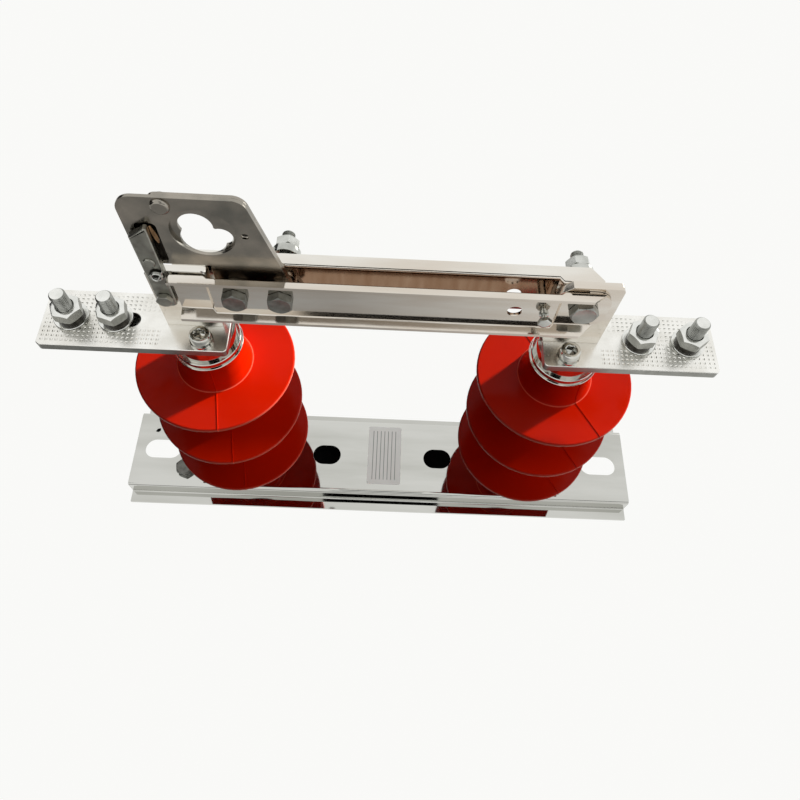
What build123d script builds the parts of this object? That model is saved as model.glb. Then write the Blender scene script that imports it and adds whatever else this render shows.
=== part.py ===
from build123d import *
import os
from math import cos, radians, tan

# Outdoor single-pole knife disconnector, closed, standing on its own base rail.
# X runs along the base, the hinge end at +X, Y points to the back, Z is up.
# Driving dimensions, in millimetres and degrees.

# Base: a hat-section rail bent from stainless sheet, with slots for its fixing bolts.
base_length = 449.0
base_top_width = 71.5
base_height = 18.0
base_sheet = 2.5
base_lip = 10.5
base_bend_inner = 1.2
slot_width = 18.5
mid_slot_length = 25.0
mid_slot_offset = 50.5
end_slot_length = 33.0
end_slot_margin = 8.5
earth_bolt_distance = 57.0
earth_bolt_offset = 19.0
earth_bolt_size = 8.0
spare_hole_inset = 16.9
spare_hole_offset = 18.3
spare_hole_radius = 2.4

# Insulators: silicone rubber moulded with three thin sheds, on a foot and under a cap.
pole_spacing = 238.0
foot_radius = 25.0
foot_height = 12.0
foot_flange_radius = 29.0
foot_flange_height = 5.0
trunk_radius = 22.5
trunk_top = 210.5
trunk_edge_radius = 2.5
shed_radius = 55.0
shed_count = 3
shed_first_height = 67.7
shed_pitch = 56.3
shed_rim = 3.0
shed_root = 7.5
shed_fillet = 4.0
cap_radius = 21.3
cap_height = 10.9
cap_recess = 6.0
cap_spigot_radius = 15.0

# Terminals: flat plated bars with slots for their clamping bolts.
# Distances are from the pole, from the upright beside the bolts, or from the bar's end.
terminal_width = 42.0
terminal_thickness = 6.0
terminal_inner_reach = 19.0
terminal_corner = 3.0
terminal_bolt_size = 10.0
terminal_bolt_end = 12.0
terminal_bolt_inset = 18.0
left_bolt_distance = 33.0
left_bolt_pitch = 28.0
right_bolt_distance = 26.8
right_bolt_pitch = 32.0
terminal_slot_length = 23.0
terminal_slot_shift = 5.5
cap_screw_size = 8.0
cap_screw_spread = 13.3
left_screw_offset = 2.7
right_screw_offset = 3.5

# Uprights: flat contact plates that stand on the terminals, between the blade's cheeks.
upright_thickness = 5.0
contact_upright_overhang = 20.5
contact_upright_width = 35.5
contact_upright_height = 16.4
hinge_upright_overhang = 16.7
hinge_upright_width = 38.7
hinge_upright_height = 18.3
upright_chamfer = 8.5
upright_corner = 3.0
running_gap = 0.3

# Blade: two channels with flared lips, set back at both ends to meet the uprights.
blade_lift = 38.2
blade_overhang = 5.2
blade_sheet = 2.2
blade_gap = 10.6
blade_lip_spread = 24.6
blade_height = 37.4
blade_flare = 18.0
blade_bend_inner = 0.8
contact_joggle_inset = 16.0
hinge_joggle_inset = 20.5
joggle_run = 2.5
hinge_inset = 4.0
lip_end_reach = 9.5
lip_end_bevel = 8.0
tongue_reach = 15.0
tongue_corner = 10.0
bolt_offset_height = 1.2
hinge_bolt_size = 8.0
hinge_bolt_turn = 14.0
blade_bolt_size = 8.0
blade_bolt_turn = 30.0
blade_bolt_inset = 34.9
blade_bolt_pitch = 26.2
blade_hole_inset = 40.7
blade_hole_radius = 4.6
stop_pin_inset = 23.0
stop_pin_drop = 1.5
stop_pin_radius = 2.5
stop_pin_head = 8.0
stop_pin_head_height = 3.0
stop_pin_neck_radius = 2.0
stop_pin_neck_length = 3.0
stop_pin_nut_height = 4.0
bolt_fit = 0.2

# Spring stacks behind the blade, that press the two channels on the uprights.
spring_outer_radius = 8.4
spring_length = 10.0
spring_turns = 5
spring_edge_draft = 1.2
spring_cup_radius = 8.7
spring_cup_length = 9.0
hinge_cup_length = 9.0
blade_bolt_end = 6.5
hinge_bolt_end = 6.5

# Pull ring: two plates back to back between the channels, with the hole for the hook stick.
# Reaches run left from the first blade bolt, or right where the name says so, and
# heights run up from the middle of the blade.
ring_sheet = 2.0
ring_left_reach = 49.4
ring_right_reach = 15.3
ring_top_height = 73.5
ring_foot_right_reach = 38.3
ring_foot_left_reach = 10.2
ring_foot_drop = 13.0
ring_shoulder_height = 22.6
ring_left_corner = 10.0
ring_right_corner = 8.0
ring_foot_corner = 4.0
ring_hole_reach = 9.2
ring_hole_height = 48.9
ring_hole_radius = 17.1
rear_ring_left_reach = 33.0
rear_ring_left_corner = 5.0
rear_hole_reach = 10.7
rear_hole_height = 41.4
rear_hole_radius = 12.0
rear_crown_reach = 12.7
rear_crown_height = 51.9
rear_crown_radius = 9.15
rear_lobe_reach = 0.8
rear_lobe_height = 44.2
rear_lobe_radius = 6.5
small_hole_right_reach = 12.6
small_hole_height = 47.8
small_hole_radius = 2.1
rivet_reach = 26.3
rivet_height = 67.7
rivet_radius = 5.0
rivet_shank_radius = 3.0
rivet_head = 2.0
window_left_reach = 43.8
window_right_reach = 32.6
window_bottom_height = 34.4
window_top_height = 54.9
window_corner = 3.0
window_leg_width = 5.1
window_leg_height = 25.6
window_leg_corner = 1.5

# Lock bar: the flat latch in front of the contact upright, on a pin through the pull ring.
lock_left_reach = 47.2
lock_width = 11.0
lock_drop = 11.7
lock_top_height = 48.8
lock_top_slant = 6.3
lock_thickness = 4.2
lock_corner = 5.0
lock_pin_height = 28.9
lock_pin_radius = 2.5
lock_pin_head_radius = 3.4
lock_pin_head = 1.0
lock_bolt_drop = 3.1
lock_bolt_size = 5.0

# Hexagon heads and nuts, as shares of the thread's diameter.
hex_flats_share = 1.7
bolt_shank_share = 0.9
hex_head_share = 0.66
hex_nut_share = 0.82
washer_radius_share = 1.05
washer_height_share = 0.19
spring_washer_radius_share = 0.87
spring_washer_height_share = 0.24
chamfer_share = 0.06
socket_head_share = 1.62
socket_height_share = 1.0
socket_hex_share = 0.75
socket_depth_share = 0.55

# Roundness of thin rims, as a share of half the rim or of a head's height.
rim_round_share = 0.9

# One overrun serves every cut.
overrun = 5.0

# Heights that follow from the stack of pieces on each pole.
foot_bottom = base_height
trunk_bottom = base_height + foot_height
cap_bottom = trunk_top
terminal_bottom = trunk_top + cap_height
terminal_top = terminal_bottom + terminal_thickness
blade_middle = terminal_top + blade_lift
bolt_height = blade_middle + bolt_offset_height

# Places along the rail that follow from the poles.
pole_x = pole_spacing / 2
earth_bolt_x = -pole_x - earth_bolt_distance
left_screw_x = pole_x - left_screw_offset
right_screw_x = pole_x - right_screw_offset
terminal_inner = pole_x - terminal_inner_reach
contact_upright_left = -pole_x - contact_upright_overhang
hinge_upright_right = pole_x + hinge_upright_overhang
left_bolt_inner = left_bolt_distance - contact_upright_left
left_bolt_outer = left_bolt_inner + left_bolt_pitch
left_terminal_reach = left_bolt_outer + terminal_bolt_inset
right_bolt_inner = hinge_upright_right + right_bolt_distance
right_bolt_outer = right_bolt_inner + right_bolt_pitch
right_terminal_reach = right_bolt_outer + terminal_bolt_inset
blade_left = -pole_x - blade_overhang
contact_joggle_x = contact_joggle_inset - pole_x
hinge_joggle_x = pole_x - hinge_joggle_inset
hinge_x = pole_x - hinge_inset
lip_end_x = hinge_x + lip_end_reach
blade_bolt_1_x = blade_left + blade_bolt_inset
blade_bolt_2_x = blade_bolt_1_x + blade_bolt_pitch
blade_hole_x = hinge_x - blade_hole_inset
stop_pin_x = hinge_x - stop_pin_inset
lock_left = blade_bolt_1_x - lock_left_reach
lock_right = lock_left + lock_width
lock_middle = lock_left + lock_width / 2

# Half distances from the middle plane of the blade.
upright_face = upright_thickness / 2
web_close = upright_face + running_gap
web_wide = blade_gap / 2
lip_tip = blade_lip_spread / 2
web_outer = web_wide + blade_sheet
close_outer = web_close + blade_sheet


def lying(x, y, z, shape):
    """Puts a shape built along Z with its axis along +Y at a point."""
    return Pos(x, y, z) * Rot(-90, 0, 0) * shape


def rod(radius, height):
    """A cylinder that stands on the XY plane."""
    return Cylinder(radius, height, align=(Align.CENTER, Align.CENTER, Align.MIN))


def hexagon(flats, height, edge):
    """A hexagon block on the XY plane, its top corners turned off."""
    block = extrude(RegularPolygon(flats / 2, 6, major_radius=False), amount=height)
    corner = flats / 2 / cos(radians(30)) + edge
    cone = Cone(corner + height, corner - edge, height + edge,
                align=(Align.CENTER, Align.CENTER, Align.MIN))
    return block & cone


def standing_plate(outline, front, back):
    """A plate from a sketch drawn in X and Z, between two values of Y."""
    plane = Plane(origin=(0, back, 0), x_dir=(1, 0, 0), z_dir=(0, -1, 0))
    return extrude(plane * outline, amount=back - front)


def round_corner(outline, point, radius):
    """Rounds the corner of a sketch that lies nearest a point."""
    corner = outline.vertices().sort_by_distance(Vector(*point))[0]
    return fillet(corner, radius)


def closed_face(*points):
    return make_face(Polyline(*points, close=True))


def hole_along_y(x, z, radius):
    """A cutter through the whole depth of the blade."""
    depth = blade_lip_spread + overrun
    return lying(x, -depth / 2, z, rod(radius, depth))


def base_channel():
    """The rail: flat top, two walls and two lips that stand on the ground."""
    half = base_top_width / 2
    inner = half - base_sheet
    foot = half + base_lip
    top = base_height
    under = base_height - base_sheet
    outline = closed_face((-foot, 0), (-foot, base_sheet), (-half, base_sheet), (-half, top),
                          (half, top), (half, base_sheet), (foot, base_sheet), (foot, 0),
                          (inner, 0), (inner, under), (-inner, under), (-inner, 0))
    bend_outer = base_bend_inner + base_sheet
    for side in (-1, 1):
        outline = round_corner(outline, (side * half, top), bend_outer)
        outline = round_corner(outline, (side * inner, under), base_bend_inner)
        outline = round_corner(outline, (side * half, base_sheet), base_bend_inner)
        outline = round_corner(outline, (side * inner, 0), bend_outer)
    rail = extrude(Plane.YZ * outline, amount=base_length / 2, both=True)
    end_x = base_length / 2 - end_slot_margin - end_slot_length / 2
    for x, length in ((-end_x, end_slot_length), (end_x, end_slot_length),
                      (-mid_slot_offset, mid_slot_length), (mid_slot_offset, mid_slot_length)):
        slot = extrude(SlotOverall(length, slot_width), amount=base_height + overrun)
        rail -= Pos(x, 0, 0) * slot
    earth_hole = rod(earth_bolt_size / 2 + bolt_fit, base_height + overrun)
    spare_hole = rod(spare_hole_radius, base_height + overrun)
    rail -= Pos(spare_hole_inset - base_length / 2, spare_hole_offset, 0) * spare_hole
    return rail - Pos(earth_bolt_x, -earth_bolt_offset, 0) * earth_hole


def earth_bolt():
    """The hexagon bolt on the rail beside the left pole, with its washer."""
    size = earth_bolt_size
    washer = rod(size * washer_radius_share, size * washer_height_share)
    head = hexagon(size * hex_flats_share, size * hex_head_share, size * chamfer_share)
    shank = Pos(0, 0, -base_sheet) * rod(size / 2, base_sheet)
    bolt = washer + Pos(0, 0, size * washer_height_share) * head + shank
    return Pos(earth_bolt_x, -earth_bolt_offset, base_height) * bolt


def foot(side):
    """The turned metal foot that carries the insulator on the rail."""
    flange = rod(foot_flange_radius, foot_flange_height)
    return Pos(side * pole_x, 0, foot_bottom) * (flange + rod(foot_radius, foot_height))


def insulator(side):
    """The moulded body: a trunk with thin sheds that grow from it in fillets."""
    trunk = Pos(0, 0, trunk_bottom) * rod(trunk_radius, trunk_top - trunk_bottom)
    trunk = fillet(trunk.edges().sort_by(Axis.Z)[-1], trunk_edge_radius)
    rim_half = shed_rim / 2
    root_low = shed_root - rim_half
    shed_outline = closed_face((0, rim_half), (shed_radius, rim_half), (shed_radius, -rim_half),
                               (trunk_radius, -root_low), (0, -root_low))
    for height in (rim_half, -rim_half):
        shed_outline = round_corner(shed_outline, (shed_radius, height), rim_half * rim_round_share)
    shed = revolve(Plane.XZ * shed_outline, Axis.Z)
    for number in range(shed_count):
        height = shed_first_height + number * shed_pitch
        trunk += Pos(0, 0, height) * shed
        roots = trunk.edges().filter_by(GeomType.CIRCLE).filter_by(
            lambda edge: abs(edge.radius - trunk_radius) < shed_rim
            and abs(edge.center().Z - height) < shed_root)
        trunk = fillet(roots, shed_fillet)
    recess = Pos(0, 0, trunk_top - cap_recess) * rod(cap_spigot_radius, cap_recess)
    return Pos(side * pole_x, 0, 0) * (trunk - recess)


def cap(side):
    """The metal insert on top of the insulator, with a spigot down into the rubber."""
    disc = Pos(0, 0, cap_bottom) * rod(cap_radius, cap_height)
    spigot = Pos(0, 0, cap_bottom - cap_recess) * rod(cap_spigot_radius, cap_recess)
    insert = disc + spigot
    x = (left_screw_x if side < 0 else right_screw_x) - pole_x
    for y in (-cap_screw_spread, cap_screw_spread):
        insert -= Pos(side * x, y, cap_bottom) * rod(cap_screw_size / 2 + bolt_fit, cap_height)
    return Pos(side * pole_x, 0, 0) * insert


def terminal(side):
    """A flat bar on the cap, reaching out past the pole; the left one has a slot for its inner bolt."""
    reach = left_terminal_reach if side < 0 else right_terminal_reach
    length = reach - terminal_inner
    bar = extrude(RectangleRounded(length, terminal_width, terminal_corner), amount=terminal_thickness)
    bar = Pos(side * (reach + terminal_inner) / 2, 0, terminal_bottom) * bar
    places = (left_bolt_inner, left_bolt_outer) if side < 0 else (right_bolt_inner, right_bolt_outer)
    hole_width = terminal_bolt_size + 2 * bolt_fit
    slot = extrude(SlotOverall(terminal_slot_length, hole_width), amount=terminal_thickness)
    round_hole = rod(hole_width / 2, terminal_thickness)
    if side < 0:
        bar -= Pos(side * (places[0] - terminal_slot_shift), 0, terminal_bottom) * slot
    else:
        bar -= Pos(side * places[0], 0, terminal_bottom) * round_hole
    bar -= Pos(side * places[1], 0, terminal_bottom) * round_hole
    screw_x = left_screw_x if side < 0 else right_screw_x
    for y in (-cap_screw_spread, cap_screw_spread):
        screw_hole = rod(cap_screw_size / 2 + bolt_fit, terminal_thickness)
        bar -= Pos(side * screw_x, y, terminal_bottom) * screw_hole
    return bar


def terminal_bolt(x):
    """A hexagon bolt from below, its shank reduced, its threaded end standing up past the nut."""
    size = terminal_bolt_size
    head_height = size * hex_head_share
    stack = size * (washer_height_share + spring_washer_height_share + hex_nut_share)
    shank = rod(size * bolt_shank_share / 2, terminal_thickness + stack)
    end = rod(size / 2, terminal_bolt_end)
    end = chamfer(end.edges().sort_by(Axis.Z)[-1], size * chamfer_share)
    head = Rot(180, 0, 0) * hexagon(size * hex_flats_share, head_height, size * chamfer_share)
    bolt = head + shank + Pos(0, 0, terminal_thickness + stack) * end
    return Pos(x, 0, terminal_bottom) * bolt


def terminal_nut(x):
    """Flat washer, spring washer and nut, clamped on top of the terminal."""
    size = terminal_bolt_size
    washer = rod(size * washer_radius_share, size * washer_height_share)
    spring = rod(size * spring_washer_radius_share, size * spring_washer_height_share)
    nut = hexagon(size * hex_flats_share, size * hex_nut_share, size * chamfer_share)
    stack = washer + Pos(0, 0, size * washer_height_share) * spring
    stack += Pos(0, 0, size * (washer_height_share + spring_washer_height_share)) * nut
    stack -= rod(size / 2 + bolt_fit, size * (hex_flats_share + hex_nut_share))
    return Pos(x, 0, terminal_top) * stack


def cap_screw(x, y):
    """A socket head screw that holds a terminal down on its cap."""
    size = cap_screw_size
    head = rod(size * socket_head_share / 2, size * socket_height_share)
    head = chamfer(head.edges().sort_by(Axis.Z)[-1], size * chamfer_share)
    socket = extrude(RegularPolygon(size * socket_hex_share / 2, 6, major_radius=False),
                     amount=size * socket_depth_share)
    head -= Pos(0, 0, size * (socket_height_share - socket_depth_share)) * socket
    length = terminal_thickness + cap_height
    return Pos(x, y, terminal_top) * (head + Pos(0, 0, -length) * rod(size / 2, length))


def upright(left, right, rise, corner):
    """A flat contact plate on edge, its right top corner rounded and its left one cut off."""
    top = blade_middle + rise
    outline = closed_face((left, terminal_top), (right, terminal_top), (right, top),
                          (left + corner, top), (left, top - corner))
    outline = round_corner(outline, (right, top), upright_corner)
    return standing_plate(outline, -upright_face, upright_face)


def contact_upright():
    right = contact_upright_left + contact_upright_width
    return upright(contact_upright_left, right, contact_upright_height, upright_corner)


def hinge_upright():
    """The plate that carries the hinge bolt, one corner cut away so that the stop pin passes."""
    left = hinge_upright_right - hinge_upright_width
    hole = hole_along_y(hinge_x, bolt_height, hinge_bolt_size / 2 + running_gap)
    return upright(left, hinge_upright_right, hinge_upright_height, upright_chamfer) - hole


def lip_root(web):
    """Height of the lip's outer face above the blade's middle, where it meets the web."""
    return blade_height / 2 - (lip_tip - web) * tan(radians(blade_flare))


def channel_section(web):
    """Section of the front channel in Y and Z, its web at a distance from the middle plane."""
    slope = radians(blade_flare)
    tip_y = -lip_tip
    tip_z = blade_height / 2
    under_z = tip_z - blade_sheet / cos(slope)
    face = -(web + blade_sheet)
    inside_z = under_z - (face - tip_y) * tan(slope)
    root_z = lip_root(web)
    outline = closed_face((-web, -root_z), (-web, root_z), (tip_y, tip_z), (tip_y, under_z),
                          (face, inside_z), (face, -inside_z), (tip_y, -under_z), (tip_y, -tip_z))
    for side in (-1, 1):
        outline = round_corner(outline, (-web, side * root_z), blade_bend_inner + blade_sheet)
        outline = round_corner(outline, (face, side * inside_z), blade_bend_inner)
    return Pos(0, blade_middle, 0) * outline


def section_at(x, web):
    return Plane(origin=(x, 0, 0), x_dir=(0, 1, 0), z_dir=(1, 0, 0)) * channel_section(web)


def lip_bevel():
    """A cutter that takes the lips back at a slant at the hinge end, and leaves the web."""
    far = lip_end_x + overrun
    deep = lip_tip + overrun
    slant = lip_end_bevel / (lip_tip - close_outer)
    tip_x = lip_end_x - slant * (deep - close_outer)
    outline = closed_face((lip_end_x, -close_outer), (far, -close_outer), (far, -deep), (tip_x, -deep))
    bottom = blade_middle - blade_height
    return Pos(0, 0, bottom) * extrude(outline, amount=2 * blade_height)


def blade_tongue():
    """The end of the web round the hinge bolt, past the lips."""
    root = lip_root(web_close)
    right = hinge_x + tongue_reach
    low = blade_middle - root
    high = blade_middle + root
    outline = closed_face((hinge_x, low), (right, low), (right, high), (hinge_x, high))
    for z in (low, high):
        outline = round_corner(outline, (right, z), tongue_corner)
    return standing_plate(outline, -close_outer, -web_close)


def blade_front():
    """The channel nearer the viewer: flared lips outwards, web set in at both ends."""
    contact_end = contact_joggle_x - joggle_run
    hinge_start = hinge_joggle_x + joggle_run
    channel = extrude(section_at(blade_left, web_close), amount=contact_end - blade_left)
    channel += loft([section_at(contact_end, web_close), section_at(contact_joggle_x, web_wide)], ruled=True)
    channel += extrude(section_at(contact_joggle_x, web_wide), amount=hinge_joggle_x - contact_joggle_x)
    channel += loft([section_at(hinge_joggle_x, web_wide), section_at(hinge_start, web_close)], ruled=True)
    lip_end = extrude(section_at(hinge_start, web_close), amount=lip_end_x - hinge_start)
    channel += lip_end - lip_bevel() + blade_tongue()
    for x in (blade_bolt_1_x, blade_bolt_2_x):
        channel -= hole_along_y(x, bolt_height, blade_bolt_size / 2 + bolt_fit)
    channel -= hole_along_y(hinge_x, bolt_height, hinge_bolt_size / 2 + bolt_fit)
    channel -= hole_along_y(stop_pin_x, blade_middle - stop_pin_drop, stop_pin_radius + bolt_fit)
    channel -= hole_along_y(blade_hole_x, blade_middle, blade_hole_radius)
    return channel


def blade_rear():
    return mirror(blade_front(), about=Plane.XZ)


def through_bolt(x, size, turn, front, back, end):
    """A hexagon bolt along Y, its head in front, its threaded end at the back."""
    head = Rot(0, 0, turn) * hexagon(size * hex_flats_share, size * hex_head_share, size * chamfer_share)
    shank = rod(size / 2, front + back + end)
    shank = chamfer(shank.edges().sort_by(Axis.Z)[-1], size * chamfer_share)
    return Pos(x, -front, bolt_height) * (Rot(90, 0, 0) * head + Rot(-90, 0, 0) * shank)


def spring_stack(x, size, back):
    """Disc springs nested face to back on a bolt behind the blade."""
    inner = size / 2 + bolt_fit
    step = spring_length / spring_turns
    stack = None
    for number in range(spring_turns):
        low = number * step
        high = low + step
        radii = [spring_outer_radius, spring_outer_radius - spring_edge_draft]
        if number % 2:
            radii.reverse()
        ring = closed_face((inner, low), (radii[0], low), (radii[1], high), (inner, high))
        disc = revolve(Plane.XZ * ring, Axis.Z)
        stack = disc if stack is None else stack + disc
    return lying(x, back, bolt_height, stack)


def bolt_nut(x, size, back, cup_length):
    """The cup that seats the springs, with the nut drawn down on it."""
    cup = rod(spring_cup_radius, cup_length)
    nut = hexagon(size * hex_flats_share, size * hex_nut_share, size * chamfer_share)
    nut = cup + Pos(0, 0, cup_length) * nut
    nut -= rod(size / 2 + bolt_fit, cup_length + size * hex_nut_share)
    return lying(x, back, bolt_height, nut)


def spacer(x, front):
    """A ring on a blade bolt that fills the space between a channel and the pull ring."""
    ring = rod(blade_bolt_size * washer_radius_share, web_wide - ring_sheet)
    ring -= rod(blade_bolt_size / 2 + bolt_fit, web_wide - ring_sheet)
    start = -web_wide if front else ring_sheet
    return lying(x, start, bolt_height, ring)


def stop_pin():
    """The pin across the blade that comes down on the hinge upright's top when open."""
    shank = rod(stop_pin_radius, 2 * web_outer)
    edge = stop_pin_head * chamfer_share
    head = hexagon(stop_pin_head, stop_pin_head_height, edge)
    nut = hexagon(stop_pin_head, stop_pin_nut_height, edge)
    neck = rod(stop_pin_neck_radius, stop_pin_neck_length)
    front = Rot(90, 0, 0) * (neck + Pos(0, 0, stop_pin_neck_length) * head)
    pin = Rot(-90, 0, 0) * shank + front
    tail = Pos(0, 2 * web_outer, 0) * (Rot(-90, 0, 0) * nut)
    return Pos(stop_pin_x, -web_outer, blade_middle - stop_pin_drop) * (pin + tail)


def ring_round(reach, rise, radius):
    """A round cut in a pull-ring plate, placed from the first bolt and the blade's middle."""
    return Pos(blade_bolt_1_x - reach, blade_middle + rise) * Circle(radius)


def ring_outline(left, left_corner):
    """Outline of a pull-ring plate in X and Z: a slanted hand plate with a foot in the blade."""
    right = blade_bolt_1_x + ring_right_reach
    top = blade_middle + ring_top_height
    shoulder = blade_middle + ring_shoulder_height
    foot_left = blade_bolt_1_x - ring_foot_left_reach
    foot_right = blade_bolt_1_x + ring_foot_right_reach
    foot_z = blade_middle - ring_foot_drop
    outline = closed_face((left, shoulder), (left, top), (right, top),
                          (foot_right, foot_z), (foot_left, foot_z), (foot_left, shoulder))
    outline = round_corner(outline, (left, top), left_corner)
    outline = round_corner(outline, (right, top), ring_right_corner)
    outline = round_corner(outline, (foot_right, foot_z), ring_foot_corner)
    outline = round_corner(outline, (foot_left, foot_z), ring_foot_corner)
    for x in (blade_bolt_1_x, blade_bolt_2_x):
        outline -= Pos(x, bolt_height) * Circle(blade_bolt_size / 2 + bolt_fit)
    outline -= ring_round(-small_hole_right_reach, small_hole_height, small_hole_radius)
    return outline - ring_round(rivet_reach, rivet_height, rivet_shank_radius + bolt_fit)


def window_outline():
    """The window beside the lock bar, with a narrow leg down its right side."""
    left = blade_bolt_1_x - window_left_reach
    right = blade_bolt_1_x - window_right_reach
    low = blade_middle + window_bottom_height
    high = blade_middle + window_top_height
    leg_low = blade_middle + window_leg_height
    leg_high = (low + high) / 2
    window = RectangleRounded(right - left, high - low, window_corner)
    leg = RectangleRounded(window_leg_width, leg_high - leg_low, window_leg_corner)
    outline = Pos((left + right) / 2, (low + high) / 2) * window
    return outline + Pos(right - window_leg_width / 2, (leg_low + leg_high) / 2) * leg


def ring_plate_front():
    """The front plate: the large round hole and the window beside the lock bar."""
    outline = ring_outline(blade_bolt_1_x - ring_left_reach, ring_left_corner)
    outline -= ring_round(ring_hole_reach, ring_hole_height, ring_hole_radius)
    outline -= window_outline()
    outline -= Pos(lock_middle, blade_middle + lock_pin_height) * Circle(lock_pin_radius + bolt_fit)
    return standing_plate(outline, -ring_sheet, 0)


def ring_plate_rear():
    """The rear plate: shorter at the left, its hole drawn out in a crown and a lobe."""
    outline = ring_outline(blade_bolt_1_x - rear_ring_left_reach, rear_ring_left_corner)
    outline -= ring_round(rear_hole_reach, rear_hole_height, rear_hole_radius)
    outline -= ring_round(rear_crown_reach, rear_crown_height, rear_crown_radius)
    outline -= ring_round(rear_lobe_reach, rear_lobe_height, rear_lobe_radius)
    return standing_plate(outline, 0, ring_sheet)


def ring_rivet():
    """The rivet that joins the two plates at the top."""
    head = rod(rivet_radius, rivet_head)
    head = fillet(head.edges().sort_by(Axis.Z)[-1], rivet_head * rim_round_share)
    shank = rod(rivet_shank_radius, 2 * ring_sheet)
    rivet = Rot(90, 0, 0) * head + Rot(-90, 0, 0) * shank
    tail = Pos(0, 2 * ring_sheet, 0) * (Rot(-90, 0, 0) * head)
    return Pos(blade_bolt_1_x - rivet_reach, -ring_sheet, blade_middle + rivet_height) * (rivet + tail)


def lock_bar():
    """The flat latch bar: slanted top, round lower end, just clear of the contact upright."""
    low = blade_middle - lock_drop
    high = blade_middle + lock_top_height
    outline = closed_face((lock_left, low), (lock_right, low),
                          (lock_right, high + lock_top_slant), (lock_left, high))
    for x in (lock_left, lock_right):
        outline = round_corner(outline, (x, low), lock_corner)
    outline -= Pos(lock_middle, blade_middle + lock_pin_height) * Circle(lock_pin_radius + bolt_fit)
    outline -= Pos(lock_middle, blade_middle - lock_bolt_drop) * Circle(lock_bolt_size / 2 + bolt_fit)
    return standing_plate(outline, -(web_close + lock_thickness), -web_close)


def lock_pin():
    """The pin that carries the lock bar on the front plate."""
    front = web_close + lock_thickness
    head = rod(lock_pin_head_radius, lock_pin_head)
    head = fillet(head.edges().sort_by(Axis.Z)[-1], lock_pin_head * rim_round_share)
    pin = Rot(90, 0, 0) * head + Rot(-90, 0, 0) * rod(lock_pin_radius, front)
    return Pos(lock_middle, -front, blade_middle + lock_pin_height) * pin


def lock_bolt():
    """The small hexagon bolt in the lock bar's lower end, flush at the back."""
    size = lock_bolt_size
    head = hexagon(size * hex_flats_share, size * hex_head_share, size * chamfer_share)
    bolt = Rot(90, 0, 0) * head + Rot(-90, 0, 0) * rod(size / 2, lock_thickness)
    return Pos(lock_middle, -(web_close + lock_thickness), blade_middle - lock_bolt_drop) * bolt


nodes = {
    "base_channel": base_channel(),
    "earth_bolt": earth_bolt(),
    "contact_upright": contact_upright(),
    "hinge_upright": hinge_upright(),
    "blade_front": blade_front(),
    "blade_rear": blade_rear(),
    "ring_plate_front": ring_plate_front(),
    "ring_plate_rear": ring_plate_rear(),
    "ring_rivet": ring_rivet(),
    "lock_bar": lock_bar(),
    "lock_pin": lock_pin(),
    "lock_bolt": lock_bolt(),
    "stop_pin": stop_pin(),
}

for name, side in (("left", -1), ("right", 1)):
    nodes["foot_" + name] = foot(side)
    nodes["insulator_" + name] = insulator(side)
    nodes["cap_" + name] = cap(side)
    nodes["terminal_" + name] = terminal(side)

bolt_places = {
    "left_outer": -left_bolt_outer,
    "left_inner": -left_bolt_inner,
    "right_inner": right_bolt_inner,
    "right_outer": right_bolt_outer,
}
for name, x in bolt_places.items():
    nodes["terminal_bolt_" + name] = terminal_bolt(x)
    nodes["terminal_nut_" + name] = terminal_nut(x)

for name, x in (("left", -left_screw_x), ("right", right_screw_x)):
    nodes["cap_screw_" + name + "_front"] = cap_screw(x, -cap_screw_spread)
    nodes["cap_screw_" + name + "_rear"] = cap_screw(x, cap_screw_spread)

blade_stack = spring_length + spring_cup_length + blade_bolt_size * hex_nut_share
for name, x in (("1", blade_bolt_1_x), ("2", blade_bolt_2_x)):
    nodes["blade_bolt_" + name] = through_bolt(
        x, blade_bolt_size, blade_bolt_turn, web_outer, web_outer + blade_stack, blade_bolt_end)
    nodes["blade_spring_" + name] = spring_stack(x, blade_bolt_size, web_outer)
    nodes["blade_nut_" + name] = bolt_nut(
        x, blade_bolt_size, web_outer + spring_length, spring_cup_length)
    nodes["spacer_" + name + "_front"] = spacer(x, True)
    nodes["spacer_" + name + "_rear"] = spacer(x, False)

hinge_stack = spring_length + hinge_cup_length + hinge_bolt_size * hex_nut_share
nodes["hinge_bolt"] = through_bolt(
    hinge_x, hinge_bolt_size, hinge_bolt_turn, close_outer, close_outer + hinge_stack, hinge_bolt_end)
nodes["hinge_spring"] = spring_stack(hinge_x, hinge_bolt_size, close_outer)
nodes["hinge_nut"] = bolt_nut(
    hinge_x, hinge_bolt_size, close_outer + spring_length, hinge_cup_length)

os.makedirs("parts", exist_ok=True)
for name, shape in nodes.items():
    export_step(shape, os.path.join("parts", name + ".step"))
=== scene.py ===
import math

import bmesh
import bpy
from bpy.props import FloatProperty, FloatVectorProperty, PointerProperty
from mathutils import Matrix, Vector
from mathutils.geometry import delaunay_2d_cdt


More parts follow.
